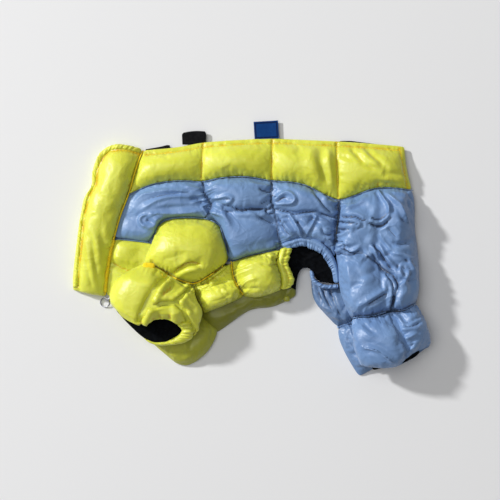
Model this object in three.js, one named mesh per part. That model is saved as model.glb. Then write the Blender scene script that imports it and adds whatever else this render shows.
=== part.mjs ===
// Padded overalls for a small dog, lying flat on their left side: millimetres, +Z up.
// +X runs from the collar to the tail, +Y from the belly to the back opening.
// The lower half of the garment lies on the floor and the upper half lies on it.

import * as THREE from "three";

// ---- driving dimensions

const GAP = 0.3; // between pieces sewn to each other
const SEAM = 2.2; // thickness of a padded wall pressed flat at a seam
const LOWER_RIM = 2.2; // lower half's thickness at its free edges
const LOWER_FULL = 6; // and inside them
const RIM_REACH = 16; // over which the lower half reaches that thickness
const BETWEEN_RIM = 1.4; // space between the halves at their free edges
const BETWEEN_FULL = 2.6; // and inside them
const LEG_LIFT = 8.4; // the upper back leg lies this much higher, on the lower leg
const PUFF_BODY = 15; // height of the filling over a seam
const PUFF_YOKE = 12;
const PUFF_COLLAR = 13;
const PUFF_CHEST = 11;
const PUFF_SLEEVE = 19;
const PUFF_BELLY = 17;
const CASING = 4.8; // width of an elastic casing
const LINING = 1.1; // lining cloth
const CROWDING = 0.45; // how far a net's lines crowd towards its seams, 0 to 1

const COLOURS = {
  yellow: 0xdfe04a,
  grey: 0x7f9cc4,
  black: 0x0a0c10,
  blue: 0x1b4a9a,
  steel: 0xb9bdc2,
};

const cloth = (name) =>
  new THREE.MeshStandardMaterial({ color: COLOURS[name], roughness: 0.45, metalness: 0 });
const YELLOW = cloth("yellow");
const GREY = cloth("grey");
const BLACK = cloth("black");
const BLUE = cloth("blue");
const STEEL = new THREE.MeshStandardMaterial({ color: COLOURS.steel, roughness: 0.3, metalness: 1 });

const garment = new THREE.Group();
garment.name = "dog_thermal_overalls";

// ---- small helpers

const { clamp, lerp, smoothstep } = THREE.MathUtils;

// A table of rows with named columns.
function table(names, rows) {
  const keys = names.split(" ");
  return rows.map((row) => Object.fromEntries(keys.map((key, i) => [key, row[i]])));
}

// A line of points from x, y, x, y …
function line(...numbers) {
  const points = [];
  for (let i = 0; i < numbers.length; i += 2) points.push([numbers[i], numbers[i + 1]]);
  return points;
}

// Smooth curve through evenly numbered points, t from 0 to 1.
function along(points, t) {
  const last = points.length - 1;
  const at = clamp(t, 0, 1) * last;
  const i = Math.min(Math.floor(at), last - 1);
  const s = at - i;
  const [b, c] = [points[i], points[i + 1]];
  const a = points[i - 1] ?? b.map((value, k) => 2 * value - c[k]);
  const d = points[i + 2] ?? c.map((value, k) => 2 * value - b[k]);
  return b.map((value, k) => {
    const bend = 2 * a[k] - 5 * value + 4 * c[k] - d[k];
    const twist = 3 * (value - c[k]) + d[k] - a[k];
    return value + 0.5 * s * (c[k] - a[k] + s * (bend + s * twist));
  });
}

// A point of a net: u runs along its rows, v from the first row to the last.
const onNet = (net, u, v) => along(net.map((row) => along(row, u)), v);

// Turns a table of sections, one a column of the net, into the net's rows.
function rowsOf(sections, names) {
  return names.map((name) => sections.map((row) => [row[`${name}X`], row[`${name}Y`]]));
}

// Rounded rise and fall over 0..1: steep at both ends and full between them.
const [ARCH_FULL, ARCH_STEEP] = [2.4, 0.6];
const arch = (s) => (s <= 0 || s >= 1 ? 0 : (1 - Math.abs(2 * s - 1) ** ARCH_FULL) ** ARCH_STEEP);

const evenSteps = (count) => Array.from({ length: count + 1 }, (_, i) => i / count);

// The filling's height across a run of seams: {at, depth}, where depth 1 is sewn flat.
function chambers(t, seams) {
  for (let i = 0; i < seams.length - 1; i += 1) {
    const [a, b] = [seams[i], seams[i + 1]];
    if (t <= b.at || i === seams.length - 2) {
      const s = (t - a.at) / (b.at - a.at);
      const depth = lerp(a.depth, b.depth, s);
      return 1 - depth * (1 - arch(s));
    }
  }
  return 0;
}

const seamsAt = (...places) => [
  { at: 0, depth: 1 },
  ...places.map(([at, depth]) => ({ at, depth })),
  { at: 1, depth: 1 },
];

// Steps from 0 to 1 that stop at every seam and crowd towards it.
function stepsBetween(seams, each) {
  const steps = [0];
  for (let i = 0; i < seams.length - 1; i += 1) {
    const [a, b] = [seams[i].at, seams[i + 1].at];
    const count = Math.max(2, Math.round(each * (b - a)));
    for (let k = 1; k <= count; k += 1) {
      const even = k / count;
      const crowded = (1 - Math.cos(Math.PI * even)) / 2;
      steps.push(a + (b - a) * lerp(even, crowded, CROWDING));
    }
  }
  return steps;
}

// ---- solids

function addMesh(name, material, positions, faces) {
  const geometry = new THREE.BufferGeometry();
  geometry.setAttribute("position", new THREE.Float32BufferAttribute(positions.flat(), 3));
  const volume = faces.reduce((sum, [a, b, c]) => {
    const [p, q, r] = [a, b, c].map((i) => new THREE.Vector3(...positions[i]));
    return sum + p.dot(q.cross(r));
  }, 0);
  const outward = volume > 0 ? faces : faces.map(([a, b, c]) => [a, c, b]);
  geometry.setIndex(outward.flat());
  geometry.computeVertexNormals();
  const mesh = new THREE.Mesh(geometry, material);
  mesh.name = name;
  garment.add(mesh);
  return mesh;
}

// A wall between an outer and an inner surface, each given as (u, v) to [x, y, z].
function wall(name, material, us, vs, outer, inner, { closedU = false } = {}) {
  const columns = closedU ? us.slice(0, -1) : us;
  const positions = [];
  for (const surface of [outer, inner]) {
    for (const v of vs) {
      for (const u of columns) positions.push(surface(u, v));
    }
  }
  const across = columns.length;
  const layer = across * vs.length;
  const at = (side, i, j) => side * layer + j * across + (i % across);
  const faces = [];
  const quad = (a, b, c, d) => faces.push([a, b, c], [a, c, d]);
  const runs = closedU ? across : across - 1;
  for (let j = 0; j < vs.length - 1; j += 1) {
    for (let i = 0; i < runs; i += 1) {
      quad(at(0, i, j), at(0, i + 1, j), at(0, i + 1, j + 1), at(0, i, j + 1));
      quad(at(1, i, j), at(1, i, j + 1), at(1, i + 1, j + 1), at(1, i + 1, j));
    }
  }
  const end = vs.length - 1;
  for (let i = 0; i < runs; i += 1) {
    quad(at(0, i, 0), at(1, i, 0), at(1, i + 1, 0), at(0, i + 1, 0));
    quad(at(0, i, end), at(0, i + 1, end), at(1, i + 1, end), at(1, i, end));
  }
  if (!closedU) {
    for (let j = 0; j < end; j += 1) {
      quad(at(0, 0, j), at(0, 0, j + 1), at(1, 0, j + 1), at(1, 0, j));
      quad(at(0, across - 1, j), at(1, across - 1, j), at(1, across - 1, j + 1), at(0, across - 1, j + 1));
    }
  }
  return addMesh(name, material, positions, faces);
}

const distance = (a, b) => Math.hypot(a[0] - b[0], a[1] - b[1]);

// A net's points, with its edges moved onto the seams that it shares and then drawn in by
// the gap, so that neighbouring pieces stay apart. Each seam is [points, coordinate number].
function inset(net, seams = {}, by = GAP) {
  const pull = (seam, u, v) => {
    if (!seam) return [0, 0];
    const [x, y] = onNet(net, u, v);
    const [sx, sy] = onSeam(seam[0], seam[1], seam[1] === 0 ? x : y);
    return [sx - x, sy - y];
  };
  return (u, v) => {
    const du = by / distance(onNet(net, 0, v), onNet(net, 1, v));
    const dv = by / distance(onNet(net, u, 0), onNet(net, u, 1));
    const [s, t] = [lerp(du, 1 - du, u), lerp(dv, 1 - dv, v)];
    const pulls = [
      [pull(seams.top, s, 0), (1 - t) ** 2],
      [pull(seams.bottom, s, 1), t ** 2],
      [pull(seams.left, 0, t), (1 - s) ** 2],
    ];
    return pulls.reduce(([x, y], [[px, py], share]) => [x + px * share, y + py * share], onNet(net, s, t));
  };
}

// ---- the two halves of the body: tables of their seams

// The seam between the collar and the body, down from the back opening to the throat.
const COLLAR_SEAM = line(
  ...[-108.3, 100.2, -112.3, 90, -116.3, 77, -122.8, 55, -130.4, 35],
  ...[-136.6, 13, -140.6, -4, -144, -24, -146.4, -45],
);

// The seam between the yoke and what hangs from it, from the collar to the tail.
const YOKE_SEAM = line(
  ...[-122.8, 55, -104, 64, -90, 67.6, -76, 69, -62, 69, -49, 68.4, -32, 71.6, -15, 73.3],
  ...[0, 72.7, 20.4, 69.2, 39, 68, 55, 64.6, 71, 56.6, 87.4, 49.8, 103, 54, 120, 60.6],
  ...[132, 62.4, 145.5, 62, 162.8, 59.6],
);

// The point of a seam where its coordinate number k has a value.
function onSeam(seam, k, value) {
  const rising = seam.at(-1)[k] > seam[0][k];
  let [from, to] = [0, 1];
  for (let i = 0; i < 30; i += 1) {
    const middle = (from + to) / 2;
    const before = rising ? along(seam, middle)[k] < value : along(seam, middle)[k] > value;
    if (before) from = middle;
    else to = middle;
  }
  return along(seam, (from + to) / 2);
}

// Collar: free edge, middle and body seam, from the back opening down to the throat.
const COLLAR = rowsOf(
  table("freeX freeY midX midY seamX seamY", [
    [-147, 102.5, -131, 106.5, -108.6, 100.2],
    [-155, 92, -135, 93, -112.3, 90],
    [-159.6, 75, -138, 76, -116.3, 77],
    [-165, 57, -144, 56, -123, 55],
    [-171.6, 38, -151, 36.5, -130.4, 35],
    [-174.5, 16, -155, 14.5, -136.6, 13],
    [-177, -4, -158.5, -4, -140.6, -4],
    [-179.5, -26, -161.5, -25, -144, -24],
    [-179.3, -37.5, -163, -41.5, -146.4, -44],
  ]),
  ["free", "mid", "seam"],
);

// Back yoke: back edge, middle and lower seam, from the collar to the tail.
const YOKE_SECTIONS = table("edgeX edgeY midX midY seamX seamY", [
  [-108, 100.4, -115.5, 78, -122.6, 55.2],
  [-74, 103.5, -79, 87, -84, 69],
  [-48, 108.3, -49, 88, -50, 68.5],
  [-13, 110.9, -14, 92, -15, 73.3],
  [21.5, 112.2, 21, 90.5, 20, 69.3],
  [53, 111, 55, 88, 56, 64.4],
  [86, 109.6, 86, 80, 87.5, 50],
  [119, 107.4, 120, 84, 120, 61],
  [154.6, 104.2, 157.4, 80, 162.8, 60],
]);
const YOKE = rowsOf(YOKE_SECTIONS, ["edge", "mid", "seam"]);

// Side: under the yoke, round the armhole, and down to the belly opening.
const SIDE_SECTIONS = table("topX topY upX upY lowX lowY endX endY", [
  [-123, 55, -128.4, 41, -133, 27, -136.8, 12],
  [-104, 64, -109, 46, -114, 28, -118, 9.8],
  [-90, 67.6, -93, 48, -97, 28, -99.8, 8],
  [-76, 69, -80, 57, -85, 43, -92, 29],
  [-62, 69, -64, 58, -66, 45, -68, 33.4],
  [-49, 68.4, -45, 54, -39.5, 43, -46, 32.2],
  [-32, 71.6, -31, 57, -29, 42, -30, 25],
  [-15, 73.3, -15, 50, -17, 20, -21, -10],
  [0, 72.7, -2, 47, -2, 18, -4, -5.2],
  [20.4, 69.2, 21, 46, 26, 22, 29.5, 2.6],
  [39, 68, 41, 47, 44, 27, 45, 9.8],
  [55, 64.6, 57, 45, 60, 26, 61.5, 8.8],
  [71, 56.6, 72, 41, 74, 22, 74.6, 2.6],
  [87.3, 50, 87, 33, 85, 14, 84.4, -8],
]);
const SIDE = rowsOf(SIDE_SECTIONS, ["top", "up", "low", "end"]);

// Haunch and upper back leg, from the yoke's seam down to the leg's gathered seam.
const HAUNCH = [
  line(87.6, 49.6, 103, 54, 120, 60.6, 132, 62.4, 145.5, 62, 162.8, 59.6),
  line(87.4, 33, 103, 36, 120, 39, 134, 40, 148, 41, 165, 42),
  line(85.4, 14, 101, 14, 117, 14, 133, 16, 149, 18, 165.2, 20),
  line(84.8, -9, 98, -7, 115, -6, 133, -4, 151, -2, 168, 0),
  line(87, -27, 100, -28, 116, -29, 135, -26, 152, -24, 169, -23),
  line(89.5, -46, 103, -47, 119, -47, 137, -45, 152, -43, 168.5, -42),
  line(99.5, -68.6, 109, -66.4, 123, -65.6, 138, -61.2, 151, -60.2, 165.5, -53.2),
];

// The garment's free edge, where both halves lie directly on each other.
const RIM = [
  [-146.4, -47],
  ...COLLAR[0].slice().reverse(),
  ...YOKE[0],
  ...HAUNCH.slice(0, 4).map((row) => row.at(-1)),
];

function fromRim(x, y) {
  let nearest = Infinity;
  for (let i = 0; i < RIM.length - 1; i += 1) {
    const [[ax, ay], [bx, by]] = [RIM[i], RIM[i + 1]];
    const [dx, dy] = [bx - ax, by - ay];
    const t = clamp(((x - ax) * dx + (y - ay) * dy) / (dx * dx + dy * dy), 0, 1);
    nearest = Math.min(nearest, Math.hypot(x - ax - t * dx, y - ay - t * dy));
  }
  return smoothstep(nearest, 0, RIM_REACH);
}

// Top of the lower half, and underside of the upper half, over any place of the body.
const lowerTop = (x, y) => lerp(LOWER_RIM, LOWER_FULL, fromRim(x, y));
const upperBase = (x, y) => lowerTop(x, y) + lerp(BETWEEN_RIM, BETWEEN_FULL, fromRim(x, y));

// ---- panels of the upper half

// A quilted panel: plain underside at base(x, y, u, v), filling raised over it.
function panel(name, material, net, options) {
  const { us, vs, puff, base = upperBase, across, down, shape, seams } = options;
  const place = inset(net, seams);
  const underside = (u, v) => {
    const [x, y] = place(u, v);
    return [x, y, base(x, y, u, v)];
  };
  const outside = (u, v) => {
    const [x, y, z] = underside(u, v);
    const full = chambers(u, across) * chambers(v, down);
    return [x, y, z + SEAM + puff * full * (shape ? shape(u, v) : 1)];
  };
  const columns = stepsBetween(across, us);
  const rows = stepsBetween(down, vs);
  return wall(name, material, columns, rows, outside, underside);
}

const TURNED_EDGE = 0.12; // share of the yoke's width above its topstitching
const TURNED_EDGE_FILL = 0.12;

function backNear() {
  panel("back_near", YELLOW, YOKE, {
    seams: { bottom: [YOKE_SEAM, 0], left: [COLLAR_SEAM, 1] },
    us: 26,
    vs: 6,
    puff: PUFF_YOKE,
    across: seamsAt([0.25, 0.75], [0.5, 0.75], [0.75, 0.9]),
    down: seamsAt([TURNED_EDGE, 0.9]),
    shape: (u, v) => (v < TURNED_EDGE ? TURNED_EDGE_FILL : 0.8 + 0.2 * v),
  });
}

function sideNear() {
  panel("side_near", GREY, SIDE, {
    seams: { top: [YOKE_SEAM, 0], left: [COLLAR_SEAM, 1] },
    us: 32,
    vs: 9,
    puff: PUFF_BODY,
    across: seamsAt([5 / 13, 0.85], [9 / 13, 0.9]),
    down: seamsAt([0.56, 0.45]),
    // Flat in front of the armhole, fuller towards the haunch.
    shape: (u, v) => lerp(0.5, 1, smoothstep(u, 0.25, 0.5)) * (1 - 0.3 * v * smoothstep(u, 0.7, 0.9)),
  });
}

const legLift = (y) => LEG_LIFT * smoothstep(-y, 5, 35);
const LEG_SIDE_DROP = 9.5; // the leg's outer side wraps down towards the floor
const LEG_FRONT_DROP = 4;

function haunchNear() {
  const base = (x, y, u) => {
    const lifted = legLift(y) / LEG_LIFT;
    const side = LEG_SIDE_DROP * smoothstep(u, 0.8, 1);
    const front = LEG_FRONT_DROP * smoothstep(1 - u, 0.88, 1);
    return upperBase(x, y) + legLift(y) - lifted * (side + front);
  };
  panel("haunch_near", GREY, HAUNCH, {
    seams: { top: [YOKE_SEAM, 0] },
    us: 12,
    vs: 15,
    puff: PUFF_BODY,
    base,
    across: seamsAt([0.52, 0.35]),
    down: seamsAt([0.42, 0.3], [0.72, 0.25]),
    shape: (u, v) => 0.85 + 0.3 * v,
  });
}

const CHEST = [
  line(-136.9, 11.2, -118, 9, -100.2, 6.8, -86, 2),
  line(-140.2, -5, -118, -6, -98, -9, -80, -12),
  line(-143.7, -24, -120, -26, -98, -28, -76, -32),
  line(-145.4, -47, -124, -54, -98, -56, -74, -56),
];

function chestNear() {
  panel("chest_near", YELLOW, CHEST, {
    seams: { left: [COLLAR_SEAM, 1] },
    us: 7,
    vs: 7,
    puff: PUFF_CHEST,
    across: seamsAt(),
    down: seamsAt(),
    // Pressed flat where the sleeve lies on it.
    shape: (u, v) => lerp(1, 0.2, smoothstep(u + 0.75 * v, 0.35, 0.62)),
  });
}

const BELLY_FRONT = [
  line(-57.6, -35.4, -46.6, -32, -33, -21, -20.2, -12.2),
  line(-56, -44, -42, -38.5, -28, -31, -17, -27),
  line(-52, -54, -38, -49, -23, -43, -11, -39),
  line(-47, -64, -33, -59, -19, -53, -7, -47),
];
const BELLY_REAR = [
  line(-19.6, -12, -4, -6.2, 12, -2.6, 22, 0, 30.6, 0.6),
  line(-16.7, -28, -3, -21, 10, -17, 19, -14, 26.2, -12),
  line(-10.7, -39, 1, -36, 12, -32, 23, -28, 30.6, -26),
  line(-6.7, -47, 5, -48.5, 14, -46.5, 23, -43.5, 30.4, -40),
];
const BELLY_EDGE_DROP = 1.6; // the belly's lower edge comes down to the other half
const BELLY_OPENING_FROM = 20; // and stays up beside the belly's opening

function bellyNear() {
  const base = (x, y, u, v) => {
    const drop = x < BELLY_OPENING_FROM ? BELLY_EDGE_DROP * smoothstep(v, 0.8, 1) : 0;
    return upperBase(x, y) - drop;
  };
  panel("belly_front_near", YELLOW, BELLY_FRONT, {
    us: 9,
    vs: 9,
    puff: PUFF_BELLY,
    base,
    across: seamsAt(),
    down: seamsAt([0.36, 0.6]),
    shape: (u, v) => 0.45 + 0.55 * smoothstep(v, 0.2, 0.6),
  });
  panel("belly_rear_near", YELLOW, BELLY_REAR, {
    us: 11,
    vs: 10,
    puff: PUFF_BELLY,
    base,
    across: seamsAt(),
    down: seamsAt(),
  });
}

const THIGH_BASE = 13.6;
const THIGH_WALL = 2.8;

function thighUnder() {
  const net = [
    line(107, -38, 118, -38, 130, -37, 142, -36),
    line(108, -50, 118, -51, 130, -50, 143, -48),
    line(111, -61, 121, -60, 133, -58, 144, -55),
  ];
  const under = (u, v) => [...onNet(net, u, v), THIGH_BASE];
  const over = (u, v) => [...onNet(net, u, v), THIGH_BASE + THIGH_WALL];
  wall("thigh_near_under", GREY, evenSteps(3), evenSteps(3), over, under);
}

// ---- collar: one band folded at the throat

const THROAT_TURN = 3.2; // the fold reaches this far past the last section
const FOLD_FROM = 0.46; // share of the band that is the near half, before the fold
const COLLAR_SIDES = [0.006, 0.992]; // the band's two sides, as shares of the net
const COLLAR_HEM = 0.2; // share of the band's width outside the casing's stitching
const COLLAR_HEM_FILL = 0.45;

// Here u runs from the free edge to the body's seam, and v round the neck, over the fold.
function collar() {
  const place = (across, down) => onNet(COLLAR, down, across);
  const down = (v) => clamp(v < 0.5 ? v / FOLD_FROM : (1 - v) / FOLD_FROM, 0, 1);
  const folding = (v) => clamp((v - FOLD_FROM) / (1 - 2 * FOLD_FROM), 0, 1) * Math.PI;
  const side = (u) => lerp(...COLLAR_SIDES, u);
  const across = seamsAt([COLLAR_HEM, 0.7]);
  const inner = (u, v) => {
    const [x, y] = place(side(u), down(v));
    const [low, high] = [lowerTop(x, y), upperBase(x, y)];
    const turn = folding(v);
    return [x, y - 0.4 * Math.sin(turn), lerp(low, high, (1 + Math.cos(turn)) / 2)];
  };
  const outer = (u, v) => {
    const [x, y] = place(side(u), down(v));
    const turn = folding(v);
    const fill = u < COLLAR_HEM ? COLLAR_HEM_FILL : 1;
    const full = chambers(u, across) * fill * arch(lerp(0.04, 0.93, down(v)));
    const top = upperBase(x, y) + SEAM + PUFF_COLLAR * full * (v < 0.5 ? 1 : 0);
    return [x, y - THROAT_TURN * Math.sin(turn), top * ((1 + Math.cos(turn)) / 2)];
  };
  const nearRows = stepsBetween(seamsAt(), 13).map((s) => s * FOLD_FROM);
  const foldRows = [0.48, 0.5, 0.52];
  const farRows = evenSteps(6).map((s) => 1 - FOLD_FROM * (1 - s));
  wall("collar", YELLOW, stepsBetween(across, 8), [...nearRows, ...foldRows, ...farRows], outer, inner);
}

// ---- near sleeve: it lies on the chest and the belly

const SLEEVE = [
  line(-93.8, 23.4, -84, 30.2, -66, 32.4, -46, 31.2, -37.4, 28.4, -31, 23.4),
  line(-99.2, 6.8, -83, 10, -64, 12, -44, 12, -32, 10, -26.2, 7.2),
  line(-105, -5, -88, -6, -69, -7, -49, -8, -33, -9, -22.6, -8),
  line(-106.5, -14.6, -93, -18.4, -79, -26.4, -58.2, -33.6, -41.4, -25.8, -27.4, -16),
];
const SLEEVE_LIFT = 5.6; // over the chest that it lies on
const SLEEVE_BASE = LOWER_FULL + BETWEEN_FULL + 0.1;

function sleeveUpper() {
  const base = (x, y, u, v) => {
    return SLEEVE_BASE + SLEEVE_LIFT * smoothstep(v, 0.05, 0.3) * (1 - smoothstep(u, 0.55, 0.85));
  };
  panel("sleeve_near_upper", YELLOW, SLEEVE, {
    us: 13,
    vs: 11,
    puff: PUFF_SLEEVE,
    base,
    across: seamsAt(),
    down: seamsAt(),
    shape: (u, v) => 0.8 + 0.2 * smoothstep(v, 0.1, 0.6),
  });
}

const TUBE_SIDES = 0.8; // how squarely a tube's walls meet at its sides
const LEAST_ROOM = 0.25; // between a tube's walls where it is flattest

// A point of a lying tube, whose upper and lower wall nets meet at its sides. turn runs
// round the tube, v along it, and the point lies the given depth inside the tube's skin.
function tubePoint({ upper, lower, middle, up, down }, turn, v, depth) {
  const over = turn < 0.5;
  const u = over ? turn * 2 : 2 - turn * 2;
  const sideways = (1 - Math.cos(Math.PI * u)) / 2;
  const net = over ? upper : lower;
  const margin = depth / distance(onNet(net, 0, v), onNet(net, 1, v));
  const [x, y] = onNet(net, lerp(margin, 1 - margin, sideways), v);
  const height = Math.max(LEAST_ROOM, (over ? up : down)(sideways, v) - depth);
  const rise = height * Math.sin(Math.PI * u) ** TUBE_SIDES;
  return [x, y, middle(sideways, v) + (over ? rise : -rise)];
}

// A tube open at both ends, with pleats standing on its skin.
function tube(name, material, form, { from, to, rows, around, wallThickness, pleats = () => 0 }) {
  const outer = (turn, v) => {
    const [x, y, z] = tubePoint(form, turn, v, 0);
    return [x, y, z + pleats(turn)];
  };
  const inner = (turn, v) => tubePoint(form, turn, v, wallThickness);
  const vs = evenSteps(rows).map((step) => lerp(from, to, step));
  wall(name, material, evenSteps(around), vs, outer, inner, { closedU: true });
}

const FOREARM_UPPER = [
  line(-118, -18.4, -106, -15.2, -93, -19, -79, -27, -67, -33.2, -58.8, -35.2),
  line(-133, -30, -117, -32, -101, -36, -85, -43, -69, -46, -54, -48),
  line(-139, -43, -125, -48, -108, -54, -91, -57, -71, -58, -48, -63),
  line(-138, -54, -124, -67, -109, -73, -88, -68, -73, -72, -55, -83),
];
const FOREARM_LOWER = [
  FOREARM_UPPER[0],
  FOREARM_UPPER[1],
  line(-138, -45, -124, -52, -107, -60, -90, -64, -70, -65, -49, -66),
  line(-137, -56, -121, -74.6, -103.6, -89.4, -88, -95.5, -70, -93, -55, -85),
];
const CUFF_FROM = 0.68; // where the forearm's cloth is gathered to the cuff
const SLEEVE_FLOOR = 14.2; // the sleeve's lowest line, over the chest

const FOREARM = {
  upper: FOREARM_UPPER,
  lower: FOREARM_LOWER,
  middle: (u, v) => lerp(19, 24.5, smoothstep(v, 0, 0.35)) - 3 * smoothstep(1 - u, 0.8, 1),
  up: (u, v) => {
    const groove = 6.5 * Math.exp(-(((u - 0.47) / 0.07) ** 2)) * smoothstep(v, 0, 0.2);
    const gathered = 6 * Math.exp(-(((v - CUFF_FROM) / 0.08) ** 2)) * smoothstep(u, 0.4, 0.6);
    return lerp(5, 19, smoothstep(v, 0, 0.3)) - 3.5 * smoothstep(v, 0.8, 1) - groove - gathered;
  },
  down: (u, v) => FOREARM.middle(u, v) - SLEEVE_FLOOR,
};

const SLEEVE_WALL = 2;
const CUFF_PLEATS = 12;
const CUFF_PLEAT = 1.1; // height of a pleat
const CUFF_PLEAT_BELOW = 0.3; // share of it on the side lain on

function sleeveLower() {
  const cuffPleats = (turn) => {
    const share = turn < 0.5 ? 1 : CUFF_PLEAT_BELOW;
    return CUFF_PLEAT * share * Math.sin(turn * 2 * Math.PI * CUFF_PLEATS);
  };
  tube("sleeve_near_forearm", YELLOW, FOREARM, {
    from: 0.005,
    to: CUFF_FROM - 0.035,
    rows: 7,
    around: 28,
    wallThickness: SLEEVE_WALL,
  });
  tube("sleeve_near_cuff", YELLOW, FOREARM, {
    from: CUFF_FROM,
    to: 1,
    rows: 3,
    around: 42,
    wallThickness: SLEEVE_WALL,
    pleats: cuffPleats,
  });
  // The lining closes towards the gathered seam inside the sleeve.
  const room = SLEEVE_WALL + 2.6;
  const closed = room + LINING + 0.5;
  const opening = (v) => smoothstep(v, 0.1, 0.8);
  const lined = {
    ...FOREARM,
    up: (u, v) => lerp(closed, FOREARM.up(u, v), opening(v)),
    down: (u, v) => lerp(closed, FOREARM.down(u, v), opening(v)),
  };
  const at = (depth) => (turn, v) => tubePoint(lined, turn, v, depth);
  const vs = [0.25, 0.4, 0.55, 0.7, 0.85, 0.975];
  wall("sleeve_near_lining", BLACK, evenSteps(20), vs, at(room), at(room + LINING), { closedU: true });
}

// ---- near back leg's cuff

const LEG_CUFF_UPPER = [
  line(100.2, -69.1, 109.3, -66.8, 123, -65.9, 138, -61.5, 151, -60.5, 165, -53.7),
  line(100.6, -82, 112, -83, 127, -84, 144, -81, 158, -77, 173, -68),
  line(102.4, -98, 114, -100, 131, -102, 150, -97, 162, -91, 178, -83),
  line(108, -114, 119, -116, 134, -117, 148, -113.5, 157, -104.5, 180, -95),
];
const LEG_CUFF_LOWER = [
  LEG_CUFF_UPPER[0],
  LEG_CUFF_UPPER[1],
  LEG_CUFF_UPPER[2],
  line(109, -115.5, 121, -117.4, 136, -118.2, 149, -115, 161, -108.6, 179.4, -96),
];
const LEG_CUFF_FLOOR = 13.8; // rests on the lower leg's cuff
const LEG_WALL = 2.2;
const LEG_LINING_TOP = 18.7;
const LEG_CUFF = {
  upper: LEG_CUFF_UPPER,
  lower: LEG_CUFF_LOWER,
  middle: (u, v) => {
    const outerSide = 9 * smoothstep(u, 0.62, 1) * smoothstep(v, 0, 0.3);
    return lerp(19.5, 22.5, smoothstep(v, 0, 0.4)) - outerSide;
  },
  up: (u, v) => {
    const fold = 7 * Math.exp(-(((u - 0.66) / 0.06) ** 2)) * smoothstep(v, 0, 0.3);
    const gathers = 1.1 * Math.sin(u * 2 * Math.PI * 7) * (1 - smoothstep(v, 0.05, 0.3));
    const hem = 7 * smoothstep(v, 0.75, 1);
    return lerp(5, 18, smoothstep(v, 0, 0.35)) - hem - fold + gathers;
  },
  down: (u, v) => {
    const lowest = lerp(LEG_CUFF_FLOOR, 2, smoothstep(u, 0.72, 1));
    return lerp(5, LEG_CUFF.middle(u, v) - lowest, smoothstep(v, 0, 0.3));
  },
};

function legCuffNear() {
  tube("leg_near_cuff", GREY, LEG_CUFF, { from: 0.005, to: 1, rows: 8, around: 32, wallThickness: LEG_WALL });
  // The lining shows on the lower wall where the upper one stops short of it.
  const net = [
    line(138, -96, 146, -94, 155, -89, 163, -85),
    line(139, -106, 147, -104, 157, -99, 166, -93),
    line(141, -115.4, 150, -113.6, 161, -108.6, 169, -102.5),
  ];
  const over = (u, v) => [...onNet(net, u, v), LEG_LINING_TOP];
  const under = (u, v) => [...onNet(net, u, v), LEG_LINING_TOP - LINING];
  wall("leg_near_lining", BLACK, evenSteps(4), evenSteps(3), over, under);
}

// ---- lower half: flat on the floor, plain on both sides

const FAR_INSET = 0.5;
const UNDER_UPPER = 0.15; // the lower half stops this far below its nominal top

// A slab from the floor to top(x, y, u, v).
function slab(name, material, net, { us, vs, top, seams }) {
  const place = inset(net, seams, FAR_INSET);
  const bottom = (u, v) => [...place(u, v), 0];
  const over = (u, v) => {
    const [x, y] = place(u, v);
    return [x, y, top(x, y, u, v)];
  };
  return wall(name, material, evenSteps(us), evenSteps(vs), over, bottom);
}

const FAR_STEP = 0.9; // the lower half's free edges stop this far inside the upper half's

function lowerHalf() {
  const body = (x, y) => lowerTop(x, y) - UNDER_UPPER;
  const yoke = YOKE.map((row, i) => row.map(([x, y]) => [x, i === 0 ? y - FAR_STEP : y]));
  const yokeSeams = { bottom: [YOKE_SEAM, 0], left: [COLLAR_SEAM, 1] };
  slab("back_far", YELLOW, yoke, { us: 18, vs: 4, top: body, seams: yokeSeams });
  const side = [
    line(-123, 54.6, -76, 68.6, -32, 71.2, 0, 72.4, 39, 67.6, 87.2, 49.6),
    line(-131, 34, -80, 40, -32, 42, 0, 42, 42, 40, 87, 30),
    line(-136.8, 12, -84, 16, -32, 16, 0, 15, 44, 12, 84, 6),
    line(-140, -6, -88, -10, -32, -12, 0, -14, 40, -14, 58.6, -17.6),
  ];
  const sideSeams = { top: [YOKE_SEAM, 0], left: [COLLAR_SEAM, 1] };
  slab("side_far", GREY, side, { us: 16, vs: 6, top: body, seams: sideSeams });
  const haunch = [
    line(87.6, 49, 120, 60, 162, 59),
    line(88, 30, 119, 34, 164, 38),
    line(86.4, 8, 116, 8, 167, 10),
    line(59.6, -18, 100, -10, 168, -6),
    line(59.2, -22.2, 100, -34, 168, -34),
  ];
  slab("haunch_far", GREY, haunch, { us: 10, vs: 7, top: body, seams: { top: [YOKE_SEAM, 0] } });
  const chest = [
    line(-140.4, -6.6, -110, -9, -88, -10.6, -61, -11.6),
    line(-143.6, -24, -112, -28, -86, -30, -59.6, -32),
    line(-145.4, -45.6, -124, -52, -90, -53, -58, -54),
  ];
  slab("chest_far", YELLOW, chest, { us: 5, vs: 4, top: body, seams: { left: [COLLAR_SEAM, 1] } });
}

const BELLY_FAR_PUFF = 5.5;

function bellyFar() {
  const net = [
    line(-59.4, -12.2, -32, -13, 0, -15, 24, -15.4, 45, -16.6),
    line(-57.4, -32, -28, -34, 4, -34, 26, -32, 45.4, -30),
    line(-56, -53, -27, -57, 2, -48, 24, -44, 46, -40),
    line(-30.6, -81.4, -21, -75, 0, -60.4, 22, -58.4, 46, -47),
  ];
  const top = (x, y, u, v) => {
    // The puff stands past the near half's belly, and the edge beyond it is thin.
    const rise = BELLY_FAR_PUFF * smoothstep(v, 0.72, 0.86) * arch(clamp(u / 0.85, 0, 1));
    return lerp(LOWER_FULL + rise, LOWER_RIM, smoothstep(v, 0.86, 1)) - UNDER_UPPER;
  };
  slab("belly_far", YELLOW, net, { us: 10, vs: 9, top });
}

const FAR_SLEEVE_TOP = 12.4;

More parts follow.
